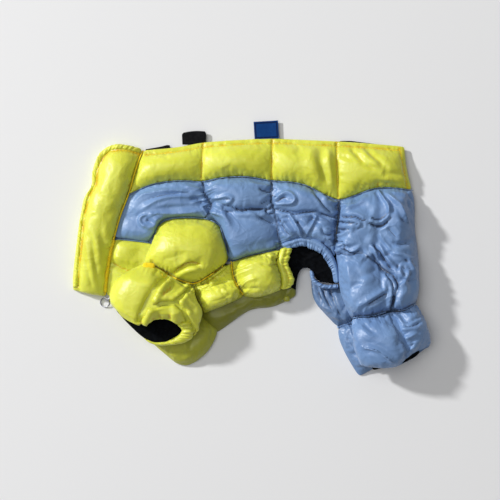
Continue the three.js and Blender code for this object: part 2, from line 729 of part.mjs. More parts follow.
function sleeveFar() {
  const net = [
    line(-116, -67, -91, -60, -60, -55.4, -35.6, -75.6),
    line(-104, -89, -81, -86, -56, -84, -33.4, -84.4),
    line(-92, -101, -77, -99, -59, -98, -42.4, -102),
    line(-75.6, -114.4, -70, -116.6, -64, -117, -56.4, -113.6),
  ];
  const top = (x, y, u, v) => LOWER_RIM + (FAR_SLEEVE_TOP - LOWER_RIM) * arch(lerp(0.02, 0.98, u)) * arch(v);
  slab("sleeve_far", YELLOW, net, { us: 9, vs: 9, top });
}

const FAR_LEG_TOP = 12.6;

function legFar() {
  const upper = [
    line(59.4, -22.6, 73, -34.6, 94, -35.4, 119, -35.4, 144, -35.4),
    line(61.4, -47.4, 80, -50, 99, -50, 121, -50, 147, -50),
    line(70.4, -60.4, 86, -64, 104, -65, 123, -63, 147, -61),
    line(87.2, -78.6, 96, -74.6, 109, -71.6, 125, -69.6, 145, -67.6),
  ];
  const cuff = [
    line(87.2, -78.9, 96, -74.5, 109, -71.5, 125, -69.5, 145, -67.5),
    line(88.4, -91, 102, -88, 117, -86, 133, -84, 149, -82),
    line(96.6, -109, 110, -107, 123, -103, 137, -100, 151, -97),
    line(108.6, -128.4, 116, -125, 124, -120, 133, -117, 144, -112),
  ];
  const round = (x, y, u, v) => LOWER_RIM + (FAR_LEG_TOP - LOWER_RIM) * arch(lerp(0, 0.9, u)) * arch(v);
  slab("leg_far_upper", GREY, upper, { us: 8, vs: 7, top: round });
  slab("leg_far_cuff", GREY, cuff, { us: 8, vs: 7, top: round });
}

// ---- linings, casings and trims

const LINING_BASE = 6.4;

function liningOpening() {
  const outer = line(33, -48, 27, -30, 27, -6, 42, 12, 60, 15, 80, 6, 91, -14, 90, -33);
  const inner = line(45.6, -46, 45.4, -36, 47.5, -25, 51, -19.5, 57, -18.4, 61.5, -22.4, 66, -30.6, 82, -34);
  const net = [outer, inner];
  const under = (u, v) => [...onNet(net, u, v), LINING_BASE];
  const over = (u, v) => [...onNet(net, u, v), LINING_BASE + LINING];
  wall("lining_opening", BLACK, evenSteps(18), evenSteps(3), over, under);
}

function liningLegFar() {
  const net = [line(119, -112.5, 126, -111, 134, -109.6), line(122.4, -121.6, 128, -119.8, 135, -118)];
  const height = (v) => lerp(12.4, 3.4, v); // down the end of the lower leg
  const under = (u, v) => [...onNet(net, u, v), height(v)];
  const over = (u, v) => [...onNet(net, u, v), height(v) + LINING];
  wall("leg_far_lining", BLACK, evenSteps(2), evenSteps(2), over, under);
}

const CASING_SIDES = 6;
const [RUFFLE_WIDE, RUFFLE_TALL] = [0.13, -0.12]; // a wave's share of the width and height

// A gathered elastic casing along a path, with its ruffle waves.
function casing(name, material, path, { waves, steps, low, high, width = CASING }) {
  const sides = CASING_SIDES;
  const at = (turn, v) => {
    const [x, y] = along(path, v);
    const [before, after] = [along(path, v - 0.01), along(path, v + 0.01)];
    const long = distance(before, after);
    const [nx, ny] = [(before[1] - after[1]) / long, (after[0] - before[0]) / long];
    const wave = Math.sin(v * waves * 2 * Math.PI);
    const half = (width / 2) * (1 + RUFFLE_WIDE * wave);
    const tall = ((high - low) / 2) * (1 + RUFFLE_TALL * wave);
    const angle = turn * 2 * Math.PI;
    const out = half * Math.cos(angle);
    return [x + nx * out, y + ny * out, (low + high) / 2 + tall * Math.sin(angle)];
  };
  const positions = [];
  const faces = [];
  for (let j = 0; j <= steps; j += 1) {
    for (let i = 0; i < sides; i += 1) positions.push(at(i / sides, j / steps));
  }
  for (let j = 0; j < steps; j += 1) {
    for (let i = 0; i < sides; i += 1) {
      const [a, b] = [j * sides + i, j * sides + ((i + 1) % sides)];
      faces.push([a, b, b + sides], [a, b + sides, a + sides]);
    }
  }
  for (const [ring, flip] of [[0, true], [steps * sides, false]]) {
    for (let i = 1; i < sides - 1; i += 1) {
      faces.push(flip ? [ring, ring + i + 1, ring + i] : [ring, ring + i, ring + i + 1]);
    }
  }
  addMesh(name, material, positions, faces);
}

function casings() {
  casing("casing_belly", YELLOW, line(35.6, 1.4, 31.4, -9.5, 31.4, -17.5, 36, -25, 38, -32, 35, -39.6), {
    waves: 9,
    steps: 27,
    low: 7.9,
    high: 14.5,
  });
  const flank = line(41.4, 5.6, 51.5, 8, 64, 5.2, 74.6, -2, 81.4, -16, 84, -31);
  casing("casing_flank", GREY, flank, { waves: 13, steps: 39, low: 8.1, high: 14.5, width: 4.2 });
}

const PLACKET = 0.55; // thickness

function placketFar() {
  // Its upper edge stands past the near back edge at both ends of the opening.
  const placket = table("x top bottom", [
    [-106, 101.6, 92],
    [-92, 104.2, 94],
    [-82.5, 106, 95],
    [-79, 102.4, 95],
    [-48, 103.6, 97],
    [-13, 108.6, 100],
    [22, 109.8, 101],
    [55, 109, 100],
    [84, 108.4, 99],
    [88, 111, 98],
    [103, 110.6, 97],
    [116, 108.8, 96],
    [124, 105, 95],
  ]);
  const last = placket.length - 1;
  const surface = (height) => (u, v) => {
    const { x, top, bottom } = placket[Math.round(u * last)];
    const y = lerp(top, bottom, v);
    return [x, y, lowerTop(x, y) + height];
  };
  const [over, under] = [surface(0.25 + PLACKET), surface(0.25)];
  wall("placket_far", BLACK, evenSteps(last), evenSteps(2), over, under);
}

const TAB = { left: -69.5, right: -45, foot: 105.2, top: 118.3, round: 2.5, thickness: 0.9, base: 2.7 };

function webbingTab() {
  const outline = new THREE.Shape();
  const { left, right, foot, top, round, thickness, base } = TAB;
  outline.moveTo(left + 0.8, foot);
  outline.lineTo(right - 0.4, foot);
  outline.lineTo(right, top - round);
  outline.quadraticCurveTo(right, top, right - round, top);
  outline.lineTo(left + round + 2, top - 0.6);
  outline.quadraticCurveTo(left, top - 0.8, left, top - round - 1.2);
  outline.closePath();
  const options = { depth: thickness, bevelEnabled: false, curveSegments: 3 };
  const geometry = new THREE.ExtrudeGeometry(outline, options);
  const tab = new THREE.Mesh(geometry, BLACK);
  tab.name = "webbing_tab";
  tab.position.z = base;
  garment.add(tab);
}

const LABEL = { width: 24.6, height: 18, thickness: 0.8, tilt: 0.05, centre: [15.4, 119.9, 2.9] };

function label() {
  const geometry = new THREE.BoxGeometry(LABEL.width, LABEL.height, LABEL.thickness);
  const tag = new THREE.Mesh(geometry, BLUE);
  tag.name = "label";
  tag.rotation.z = LABEL.tilt;
  tag.position.set(...LABEL.centre);
  garment.add(tag);
}

// ---- wire ring on its eye at the throat

const RING_RADIUS = 4.7; // to the middle of the wire
const WIRE = 0.65;
const EYE_HOLE = 1.15;
const EYE_REACH = 2.7; // from the hole to the end that is sewn in
const EYE_HALF = 2.1;
const EYE_THICKNESS = 1;
const HINGE = [-143.7, -49.7, 3.2];
const BEARING = Math.PI / 4; // from the ring's middle towards the body
const RING_DROP = Math.asin((HINGE[2] - WIRE - 0.1) / (2 * RING_RADIUS)); // its far side is on the floor

function ringAndEye() {
  const wire = new THREE.TorusGeometry(RING_RADIUS, WIRE, 8, 24);
  wire.translate(-RING_RADIUS, 0, 0);
  wire.rotateY(-RING_DROP);
  const ring = new THREE.Mesh(wire, STEEL);
  ring.name = "ring";

  const plate = new THREE.Shape();
  plate.absarc(0, 0, EYE_HALF, Math.PI / 2, (3 * Math.PI) / 2);
  plate.lineTo(EYE_REACH, -EYE_HALF);
  plate.lineTo(EYE_REACH, EYE_HALF);
  plate.closePath();
  const hole = new THREE.Path();
  hole.absarc(0, 0, EYE_HOLE, 0, 2 * Math.PI, true);
  plate.holes.push(hole);
  const options = { depth: EYE_THICKNESS, bevelEnabled: false, curveSegments: 8 };
  const metal = new THREE.ExtrudeGeometry(plate, options);
  metal.translate(0, 0, -EYE_THICKNESS / 2);
  metal.rotateX(Math.PI / 2);
  const eye = new THREE.Mesh(metal, STEEL);
  eye.name = "ring_eye";

  for (const piece of [ring, eye]) {
    piece.position.set(...HINGE);
    piece.rotation.z = BEARING;
    garment.add(piece);
  }
}

// ---- the garment

backNear();
sideNear();
haunchNear();
chestNear();
bellyNear();
thighUnder();
collar();
sleeveUpper();
sleeveLower();
legCuffNear();
lowerHalf();
bellyFar();
sleeveFar();
legFar();
liningOpening();
liningLegFar();
casings();
placketFar();
webbingTab();
label();
ringAndEye();

// The origin is the middle of the garment's footprint, on the floor.
garment.updateMatrixWorld(true);
const extent = new THREE.Box3().setFromObject(garment, true);
const centre = extent.getCenter(new THREE.Vector3());
garment.position.set(-centre.x, -centre.y, -extent.min.z);

export default garment;
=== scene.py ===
"""Padded overalls for a small dog, lying flat on their side.

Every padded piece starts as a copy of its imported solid, is pumped up as cloth, and then gets its
folds, gathers and wrinkles. Hems, seams, stitches, linings and trims are built round them.
"""

import math

import bmesh
import bpy
import numpy as np
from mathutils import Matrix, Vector
from mathutils.bvhtree import BVHTree


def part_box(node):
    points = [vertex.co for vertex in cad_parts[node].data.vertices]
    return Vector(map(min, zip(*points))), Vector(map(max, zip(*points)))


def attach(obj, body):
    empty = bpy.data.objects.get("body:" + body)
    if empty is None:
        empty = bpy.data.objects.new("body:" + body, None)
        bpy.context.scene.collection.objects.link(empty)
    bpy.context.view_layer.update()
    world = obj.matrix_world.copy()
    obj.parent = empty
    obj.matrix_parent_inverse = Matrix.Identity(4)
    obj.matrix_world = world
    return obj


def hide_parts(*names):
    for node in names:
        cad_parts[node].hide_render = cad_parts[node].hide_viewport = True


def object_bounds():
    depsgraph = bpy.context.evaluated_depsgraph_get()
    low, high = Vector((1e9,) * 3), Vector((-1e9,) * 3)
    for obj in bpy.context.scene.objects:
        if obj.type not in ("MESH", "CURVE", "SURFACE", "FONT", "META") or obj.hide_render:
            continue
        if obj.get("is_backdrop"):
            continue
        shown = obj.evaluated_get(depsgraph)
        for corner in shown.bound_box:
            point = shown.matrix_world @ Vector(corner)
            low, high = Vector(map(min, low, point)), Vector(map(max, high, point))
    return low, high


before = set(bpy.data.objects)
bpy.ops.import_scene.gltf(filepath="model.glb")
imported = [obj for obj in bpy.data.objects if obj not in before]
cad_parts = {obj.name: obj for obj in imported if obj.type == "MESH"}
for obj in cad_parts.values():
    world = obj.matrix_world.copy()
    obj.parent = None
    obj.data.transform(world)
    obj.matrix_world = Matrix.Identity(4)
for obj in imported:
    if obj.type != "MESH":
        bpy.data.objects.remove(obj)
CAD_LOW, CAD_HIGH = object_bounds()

MM = 0.001
SCENE = bpy.context.scene

# ---- numbers and noise


def rise(x, start, end):
    """0 before start, 1 after end, smooth between them."""
    t = np.clip((x - start) / (end - start), 0, 1)
    return t * t * (3 - 2 * t)


def fade_curve(f):
    """A share from 0 to 1, eased so that noise has no corners."""
    return f * f * f * (f * (f * 6 - 15) + 10)


def ripple(x, size, seed):
    """Smooth noise from -1 to 1 along a line, with features of that size."""
    table = np.random.default_rng(seed).uniform(-1, 1, 512)
    g = x / size + 100
    i = np.floor(g).astype(int)
    f = fade_curve(g - i)
    return table[i % 512] * (1 - f) + table[(i + 1) % 512] * f


def field(points, size, seed, angle=0.0, stretch=1.0):
    """Smooth noise from -1 to 1 over the plan, its features stretched along an angle."""
    table = np.random.default_rng(seed).uniform(-1, 1, (256, 256))
    c, s = math.cos(angle), math.sin(angle)
    x, y = points[:, 0], points[:, 1]
    g = np.stack([(x * c + y * s) / (size * stretch), (y * c - x * s) / size], 1) + 500
    i = np.floor(g).astype(int)
    f = fade_curve(g - i)
    a, b = i[:, 0] % 256, i[:, 1] % 256
    near = table[a, b] * (1 - f[:, 0]) + table[(a + 1) % 256, b] * f[:, 0]
    far = table[a, (b + 1) % 256] * (1 - f[:, 0]) + table[(a + 1) % 256, (b + 1) % 256] * f[:, 0]
    return near * (1 - f[:, 1]) + far * f[:, 1]


# ---- paths over the plan

CURVE_STEPS = 24  # straight pieces between two given points of a curve


def curve(points, count):
    """count points, evenly spaced, on a smooth curve through the given ones."""
    points = np.asarray(points, float)
    if len(points) > 2:
        padded = np.vstack([2 * points[0] - points[1], points, 2 * points[-1] - points[-2]])
        fine = []
        for i in range(1, len(padded) - 2):
            a, b, c, d = padded[i - 1 : i + 3]
            for t in np.linspace(0, 1, CURVE_STEPS, endpoint=False):
                bend = 2 * a - 5 * b + 4 * c - d
                twist = 3 * (b - c) + d - a
                fine.append(b + 0.5 * t * (c - a + t * (bend + t * twist)))
        points = np.vstack([fine, padded[-2]])
    steps = np.r_[0, np.cumsum(np.linalg.norm(np.diff(points, axis=0), axis=1))]
    places = np.linspace(0, steps[-1], count)
    return np.stack([np.interp(places, steps, points[:, k]) for k in range(points.shape[1])], 1)


class Path:
    """A smooth line over the plan, given as x, y, x, y ... in millimetres."""

    def __init__(self, *numbers, count=28):
        self.points = curve(np.array(numbers, float).reshape(-1, 2), count)
        steps = np.linalg.norm(np.diff(self.points, axis=0), axis=1)
        self.at = np.r_[0, np.cumsum(steps)]
        self.length = self.at[-1]

    def measure(self, co):
        """Of each point in metres: distance, place along the path, and side, in millimetres."""
        p = co[:, None, :2] / MM
        a, b = self.points[None, :-1], self.points[None, 1:]
        ab = b - a
        long2 = (ab**2).sum(-1)
        t = np.clip(((p - a) * ab).sum(-1) / long2, 0, 1)
        off = p - a - t[..., None] * ab
        far = (off**2).sum(-1)
        k = far.argmin(1)
        row = np.arange(len(co))
        side = np.sign(ab[0, k, 0] * off[row, k, 1] - ab[0, k, 1] * off[row, k, 0])
        along = self.at[k] + t[row, k] * np.sqrt(long2[0, k])
        return np.sqrt(far[row, k]), along, side


def fold(depth, width, *line, **options):
    """The line of a fold or tuck, its depth and width in millimetres, and its crease's options."""
    path = line[0] if isinstance(line[0], Path) else Path(*line)
    return path, depth, width, options


def middle_part(path, s, share, margin=0):
    """1 along a path, fading over a share of it to 0 at margin from both its ends."""
    return rise(s, margin, share * path.length) * rise(path.length - s, margin, share * path.length)


# ---- meshes


def built_mesh(name, points, faces):
    """A mesh from points in millimetres, its faces turned outwards."""
    mesh = bpy.data.meshes.new(name)
    mesh.from_pydata((np.array(points) * MM).tolist(), [], faces)
    bm = bmesh.new()
    bm.from_mesh(mesh)
    bmesh.ops.recalc_face_normals(bm, faces=bm.faces[:])
    bm.to_mesh(mesh)
    bm.free()
    return mesh


def closed_mesh(name, rings, around):
    """A mesh from rows of around points each, in millimetres, closed across and at its ends."""
    points = [p for ring in rings for p in ring]
    faces = []
    for j in range(len(rings) - 1):
        for i in range(around):
            a, b = j * around + i, j * around + (i + 1) % around
            faces.append((a, b, b + around, a + around))
    last = (len(rings) - 1) * around
    faces.append(tuple(range(around))[::-1])
    faces.append(tuple(range(last, last + around)))
    return built_mesh(name, points, faces)


def placed(name, data):
    """A new object with this mesh, camera or light, in the scene."""
    piece = bpy.data.objects.new(name, data)
    SCENE.collection.objects.link(piece)
    return piece


def dressed(mesh, material):
    """Gives a mesh its only material and smooth shading."""
    mesh.materials.clear()
    mesh.materials.append(material)
    mesh.polygons.foreach_set("use_smooth", [True] * len(mesh.polygons))
    mesh.update()


def mark(mesh, name, values):
    """A value at each point, which the mesh's material reads."""
    attribute = mesh.attributes.new(name, "FLOAT", "POINT")
    attribute.data.foreach_set("value", np.asarray(values, np.float32))


# ---- skins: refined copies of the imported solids


def solid_copy(node):
    """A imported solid's mesh, with its triangles joined into quads."""
    bm = bmesh.new()
    bm.from_mesh(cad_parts[node].data)
    bmesh.ops.remove_doubles(bm, verts=bm.verts, dist=1e-5)
    flat = math.pi
    bmesh.ops.join_triangles(bm, faces=bm.faces[:], angle_face_threshold=flat, angle_shape_threshold=flat)
    mesh = bpy.data.meshes.new(node + "_skin")
    bm.to_mesh(mesh)
    bm.free()
    return mesh


class Skin:
    """A fine mesh as arrays in metres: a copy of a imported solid, or a mesh of its own."""

    def __init__(self, node, levels, mesh=None, name=None):
        self.object = placed(name or node + "_skin", mesh or solid_copy(node))
        if levels:
            self.refine(levels)
        else:
            self.read()

    def refine(self, levels):
        """Splits each face in four, and smooths, as many times as levels says."""
        modifier = self.object.modifiers.new("refine", "SUBSURF")
        modifier.levels = levels
        self.take(modifier)

    def take(self, modifier):
        """Keeps what a modifier made of the mesh."""
        depsgraph = bpy.context.evaluated_depsgraph_get()
        made = bpy.data.meshes.new_from_object(self.object.evaluated_get(depsgraph))
        self.object.modifiers.remove(modifier)
        old = self.object.data
        self.object.data = made
        bpy.data.meshes.remove(old)
        self.read()

    def read(self):
        """Takes the points and edges from the mesh."""
        mesh = self.object.data
        count = len(mesh.vertices)
        self.co = np.empty(count * 3, np.float32)
        mesh.vertices.foreach_get("co", self.co)
        self.co = self.co.reshape(-1, 3).astype(float)
        self.edges = np.empty(len(mesh.edges) * 2, np.int32)
        mesh.edges.foreach_get("vertices", self.edges)
        self.edges = self.edges.reshape(-1, 2)
        self.normals()

    def write(self):
        self.object.data.vertices.foreach_set("co", self.co.astype(np.float32).ravel())
        self.object.data.update()

    def normals(self):
        """Puts the points back into the mesh, and takes its normals."""
        self.write()
        count = len(self.co)
        nor = np.empty(count * 3, np.float32)
        self.object.data.vertices.foreach_get("normal", nor)
        self.nor = nor.reshape(-1, 3).astype(float)

    def neighbours(self, values):
        """The mean of each point's neighbours."""
        a, b = self.edges[:, 0], self.edges[:, 1]
        total = np.zeros_like(values)
        np.add.at(total, a, values[b])
        np.add.at(total, b, values[a])
        count = np.bincount(self.edges.ravel(), minlength=len(values))
        count = np.maximum(count, 1)
        return total / (count if values.ndim == 1 else count[:, None])

    def smoothed(self, values, times):
        """Values at the points, each drawn half way towards its neighbours' mean, several times."""
        for _ in range(times):
            values = 0.5 * values + 0.5 * self.neighbours(values)
        return values

    def tree(self):
        """The mesh as it is now, for rays."""
        bm = bmesh.new()
        bm.from_mesh(self.object.data)
        found = BVHTree.FromBMesh(bm)
        bm.free()
        return found

    def thickness(self):
        """How thick the piece is under each point that faces up, in millimetres."""
        tree = self.tree()
        down = Vector((0, 0, -1))
        skip = 0.4 * MM
        thick = np.full(len(self.co), 99.0)
        for i in np.nonzero(self.nor[:, 2] > 0.15)[0]:
            hit = tree.ray_cast(Vector(self.co[i]) + down * skip, down)
            thick[i] = (hit[3] + skip) / MM if hit[0] is not None else 0
        return thick

    def outside(self):
        """1 where a point is on the outer side of a tube, 0 where it is on its inner side."""
        tree = self.tree()
        free = np.ones(len(self.co))
        for i, (place, normal) in enumerate(zip(self.co, self.nor)):
            direction = Vector(normal)
            if tree.ray_cast(Vector(place) + direction * 0.3 * MM, direction)[0] is not None:
                free[i] = 0
        return free

    def push(self, amount):
        """Moves each point along its normal, in millimetres."""
        self.co = self.co + self.nor * (amount * MM)[:, None]
        self.normals()


SIM_SCALE = 10.0  # the solver works on a larger copy
SIM_FRAMES = 18


def cloth_part(skin, held):
    """The faces that can move, with the numbers of their points in a mesh of their own, and which
    of these points lie on its border."""
    active = held < 0.999
    near = active.copy()
    for a, b in ((0, 1), (1, 0)):
        np.logical_or.at(near, skin.edges[:, a], active[skin.edges[:, b]])
    every = [tuple(p.vertices) for p in skin.object.data.polygons]
    faces = [f for f in every if all(near[i] for i in f)]
    used = np.unique(np.concatenate([np.array(f) for f in faces]))
    number = np.full(len(near), -1)
    number[used] = np.arange(len(used))
    counts = np.bincount(np.concatenate(faces), minlength=len(near))
    whole = np.bincount(np.concatenate(every), minlength=len(near))
    return used, [number[list(f)].tolist() for f in faces], counts[used] < whole[used]


def weigh(cloth, name, weights):
    """Gives each point of the cloth its weight, from 0 to 1, in a new group."""
    group = cloth.vertex_groups.new(name=name)
    for i, weight in enumerate(weights):
        if weight > 0:
            group.add([i], float(weight), "REPLACE")


def pump(skin, held, grow, pressure, cap, stiff):
    """Lets the skin buckle as cloth under pressure. held is 1 where it is sewn or hidden, and
    grow is how much longer the cloth is than its place, at each point. cap is the longest step
    that a point may take, in millimetres."""
    used, faces, border = cloth_part(skin, held)
    rest = skin.co[used]
    cloth_mesh = bpy.data.meshes.new("cloth")
    cloth_mesh.from_pydata((rest * SIM_SCALE).tolist(), [], faces)
    cloth = placed("cloth", cloth_mesh)
    weights = np.where(border, 1.0, held[used])
    weigh(cloth, "held", weights)
    least, most = float(grow.min()), float(max(grow.max(), grow.min() + 1e-4))
    weigh(cloth, "spare", (grow[used] - least) / (most - least))
    modifier = cloth.modifiers.new("cloth", "CLOTH")
    settings = modifier.settings
    settings.quality = 5
    settings.mass = 0.02
    settings.vertex_group_mass = "held"
    settings.pin_stiffness = 5
    settings.tension_stiffness = 15
    settings.compression_stiffness = 15
    settings.shear_stiffness = 5
    settings.bending_stiffness = stiff
    settings.vertex_group_shrink = "spare"
    settings.shrink_min = -least
    settings.shrink_max = -most
    settings.use_pressure = True
    settings.uniform_pressure_force = pressure
    settings.effector_weights.gravity = 0
    modifier.collision_settings.use_collision = False
    modifier.point_cache.frame_start = 1
    modifier.point_cache.frame_end = SIM_FRAMES
    for time in range(1, SIM_FRAMES + 1):
        SCENE.frame_set(time)
    depsgraph = bpy.context.evaluated_depsgraph_get()
    done = bpy.data.meshes.new_from_object(cloth.evaluated_get(depsgraph))
    moved = np.empty(len(used) * 3, np.float32)
    done.vertices.foreach_get("co", moved)
    stride = moved.reshape(-1, 3) / SIM_SCALE - rest
    long = np.linalg.norm(stride, axis=1, keepdims=True)
    stride *= np.minimum(1, cap * MM / np.maximum(long, 1e-9))
    skin.co[used] = rest + stride * (1 - weights)[:, None]
    bpy.data.objects.remove(cloth)
    bpy.data.meshes.remove(done)
    SCENE.frame_set(1)
    skin.normals()


# ---- folds placed one by one


def crease(skin, path, depth, width, lips=0.4, taper=0.25, over=0.0, sharp=0.6):
    """A fold's height over the plan in millimetres: a valley with raised lips, or a ridge where
    depth is negative. over lays one of its sides on the other, and sharp is from 0 to 1."""
    d, s, side = path.measure(skin.co)
    ends = middle_part(path, s, taper)
    valley = (1 - sharp) * np.exp(-((d / width) ** 2)) + sharp * np.exp(-d / (0.8 * width))
    valley *= np.clip(1 - over * side, 0, 2)
    lip = np.exp(-(((d - 2.1 * width) / (1.3 * width)) ** 2)) * np.clip(1 + over * side, 0, 2)
    return -depth * ends * (valley - lips * lip)


def gathers(skin, path, height, pitch, reach, seed, dip=0.0, dip_width=1.2, sides=(1, 1), spare=0,
            slant=0.0):
    """The height of short uneven puckers that run away from a seam, up to reach, in millimetres.
    dip is the depth of the seam's own gutter, sides are the shares of the height on its left and
    right, and slant is how far a pucker leans. spare is for the cloth simulation alone."""
    d, s, side = path.measure(skin.co)
    ends = rise(s, -0.1, 2) * rise(path.length - s, -0.1, 2)
    bent = s + d * (slant * side + 0.35 * ripple(s, pitch * 3.1, seed + 1))
    large = 1 - 2 * np.abs(ripple(bent + side * 37, pitch * 0.8, seed))
    small = 1 - 2 * np.abs(ripple(bent + side * 61, pitch * 0.36, seed + 3))
    ridge = 0.75 * large + 0.4 * small
    far = reach * (0.65 + 0.6 * ripple(s + side * 53, pitch * 1.7, seed + 2))
    fade = np.exp(-((d / np.maximum(far, 0.8)) ** 1.6)) * rise(d, 0, 0.8)
    share = np.where(side > 0, sides[0], sides[1])
    return ends * (height * ridge * fade * share - dip * np.exp(-((d / dip_width) ** 2)))


def upward(skin):
    """How far each point faces up, as a share for work on the visible side."""
    return rise(skin.nor[:, 2], 0.05, 0.5)


# ---- materials


WAVE_LENGTH = 0.314  # of a wave texture at scale 1, in metres
FULL_SHADE = 0.25  # how bright the cloth is under full painted shade, as a share of its colour
CREASES = ((34, 1.1), (75, 0.5))  # scale of nylon's crisp creases, and their height in millimetres


class Nodes:
    """Builds one node material."""

    def __init__(self, name):
        self.material = bpy.data.materials.new(name)
        self.material.use_nodes = True
        self.tree = self.material.node_tree
        self.shader = self.tree.nodes["Principled BSDF"]

    def add(self, kind, inputs=None, **settings):
        """A new node, whose inputs are numbers, colours or other nodes' outputs."""
        node = self.tree.nodes.new(kind)
        for key, value in settings.items():
            setattr(node, key, value)
        for key, value in (inputs or {}).items():
            if hasattr(value, "is_output"):
                self.tree.links.new(value, node.inputs[key])
            else:
                node.inputs[key].default_value = value
        return node

    def link(self, output, key):
        """Leads an output to the shader's input of that name."""
        self.tree.links.new(output, self.shader.inputs[key])

    def set(self, **values):
        """Sets the shader's inputs, their spaces written as underscores."""
        for key, value in values.items():
            self.shader.inputs[key.replace("_", " ")].default_value = value

    def place(self):
        return self.add("ShaderNodeTexCoord").outputs["Object"]

    def noise(self, scale, detail=2.0, distortion=0.0):
        inputs = {"Vector": self.place(), "Scale": scale, "Detail": detail, "Distortion": distortion}
        return self.add("ShaderNodeTexNoise", inputs).outputs["Fac"]

    def spread(self, value, low, high, start=0.0, end=1.0):
        """low where value is start, high where it is end, and even between them."""
        inputs = {"Value": value, "From Min": start, "From Max": end, "To Min": low, "To Max": high}
        return self.add("ShaderNodeMapRange", inputs).outputs["Result"]

    def math(self, kind, a, b):
        return self.add("ShaderNodeMath", {0: a, 1: b}, operation=kind).outputs[0]

    def mix(self, share, a, b):
        """Colour a where share is 0, and b where it is 1."""
        node = self.add("ShaderNodeMix", {0: share}, data_type="RGBA")
        for key, value in ((6, a), (7, b)):
            if hasattr(value, "is_output"):
                self.tree.links.new(value, node.inputs[key])
            else:
                node.inputs[key].default_value = (*value, 1)
        return node.outputs[2]

    def weave(self, pitch):
        """Over and under threads, as a height from 0 to 1."""
        inputs = {"Vector": self.place(), "Scale": WAVE_LENGTH / pitch, "Distortion": 0.0}
        warp, weft = (self.add("ShaderNodeTexWave", inputs, bands_direction=direction).outputs["Fac"]
                      for direction in ("X", "Y"))
        return self.math("MULTIPLY", warp, weft)

    def bump(self, height, distance, strength, normal=None):
        """The normal of a height, laid over another normal."""
        inputs = {"Height": height, "Distance": distance, "Strength": strength}
        if normal is not None:
            inputs["Normal"] = normal
        return self.add("ShaderNodeBump", inputs).outputs["Normal"]


def nylon(name, base, crease_shade, pale, rough, crinkle, shade, glow=0.0):
    """Glossy proofed nylon, paler where it is stretched, with painted shade in its seams, folds and gathers.
    shade is between which hollows that painted shade turns it from base to its shaded colour, and glow is how
    far light goes into it."""
    n = Nodes(name)
    hollow = n.add("ShaderNodeAttribute", attribute_name="hollow").outputs["Fac"]
    colour = n.mix(n.spread(n.noise(28, 3), 0, 1, 0.3, 0.75), base, pale)
    # painted shade in hollows: the grey-blue darkens, and the yellow turns an orange that stands for light
    # bounced round in its creases
    colour = n.mix(n.spread(hollow, 0, 1, *shade), colour, crease_shade)
    # painted shade: a piece that lies under others gets its colour darkened by the share this attribute holds
    painted_shade = n.add("ShaderNodeAttribute", attribute_name="painted_shade").outputs["Fac"]
    n.link(n.mix(painted_shade, colour, tuple(FULL_SHADE * c for c in base)), "Base Color")
    n.link(n.spread(n.noise(90, 4), rough - 0.05, rough + 0.08), "Roughness")
    crumpled = None
    for scale, height in CREASES:
        crisp = n.math("ABSOLUTE", n.math("SUBTRACT", n.noise(scale, 2, 0.9), 0.5), 0.0)
        crumpled = n.bump(n.spread(crisp, 1, 0, 0, 0.11), height * MM, crinkle, crumpled)
    wrinkled = n.bump(n.noise(210, 3, 0.6), 0.5 * MM, 0.2, crumpled)
    n.link(n.bump(n.weave(0.35 * MM), 0.03 * MM, 0.3, wrinkled), "Normal")
    n.set(Specular_IOR_Level=0.5, Sheen_Weight=0.12, Sheen_Roughness=0.4, Coat_Weight=0.06)
    n.set(Coat_Roughness=0.34, Subsurface_Weight=glow, Subsurface_Scale=4 * MM)
    n.set(Subsurface_Radius=(1.0, 0.8, 0.1))
    return n.material


def dark_cloth(name, base, pale, pitch, rough, sheen):
    """Matt cloth or thread with a short pile over its weave, whose pitch is in metres."""
    n = Nodes(name)
    colour = n.mix(n.spread(n.noise(300, 4), 0, 1, 0.35, 0.75), base, pale)
    n.link(colour, "Base Color")
    n.link(n.spread(n.noise(500, 3), rough - 0.08, rough + 0.08), "Roughness")
    pile = n.bump(n.noise(900, 5, 0.4), 0.5 * MM, 0.4)
    n.link(n.bump(n.weave(pitch), 0.12 * MM, 0.5, pile), "Normal")
    n.set(Sheen_Weight=sheen, Sheen_Roughness=0.6, Specular_IOR_Level=0.06)
    return n.material


def steel_wire():
    """Plated steel, a little stained."""
    n = Nodes("plated_wire")
    colour = n.mix(n.spread(n.noise(600, 3), 0, 1, 0.4, 0.7), (0.56, 0.57, 0.6), (0.32, 0.32, 0.34))
    n.link(colour, "Base Color")
    n.link(n.spread(n.noise(900, 4), 0.18, 0.36), "Roughness")
    n.link(n.bump(n.noise(1500, 3), 0.05 * MM, 0.2), "Normal")
    n.set(Metallic=1.0)
    return n.material


YELLOW = nylon("yellow_nylon_cloth", base=(0.62, 0.64, 0.045), crease_shade=(0.66, 0.44, 0.008),
               pale=(0.73, 0.76, 0.085), rough=0.4, crinkle=0.22, shade=(0.12, 0.9), glow=0.35)
GREY = nylon("grey_nylon_cloth", base=(0.132, 0.237, 0.455), crease_shade=(0.02, 0.038, 0.085),
             pale=(0.19, 0.32, 0.56), rough=0.39, crinkle=0.3, shade=(0.05, 0.8))
LINING = dark_cloth("black_lining_cloth", (0.0008, 0.001, 0.0015), (0.004, 0.005, 0.007), pitch=0.8 * MM,
                    rough=0.85, sheen=0.01)
WEBBING = dark_cloth("black_webbing_cloth", (0.002, 0.002, 0.003), (0.008, 0.008, 0.01), pitch=1.1 * MM,
                     rough=0.7, sheen=0.06)
THREAD = dict(pitch=0.3 * MM, rough=0.6, sheen=0.1)
THREAD_YELLOW = dark_cloth("yellow_thread", (0.90, 0.62, 0.012), (0.92, 0.74, 0.03), **THREAD)
THREAD_GREY = dark_cloth("grey_thread", (0.07, 0.12, 0.23), (0.12, 0.18, 0.32), **THREAD)
STEEL = steel_wire()


# ---- finishing a piece


def paint(skin, material, hollow=None):
    """Gives a skin its material, and says how hollow it is at each point, from 0 to 1, which its material
    paints as shade.
    """
    mark(skin.object.data, "hollow", np.zeros(len(skin.co)) if hollow is None else np.clip(hollow, 0, 1))
    dressed(skin.object.data, material)
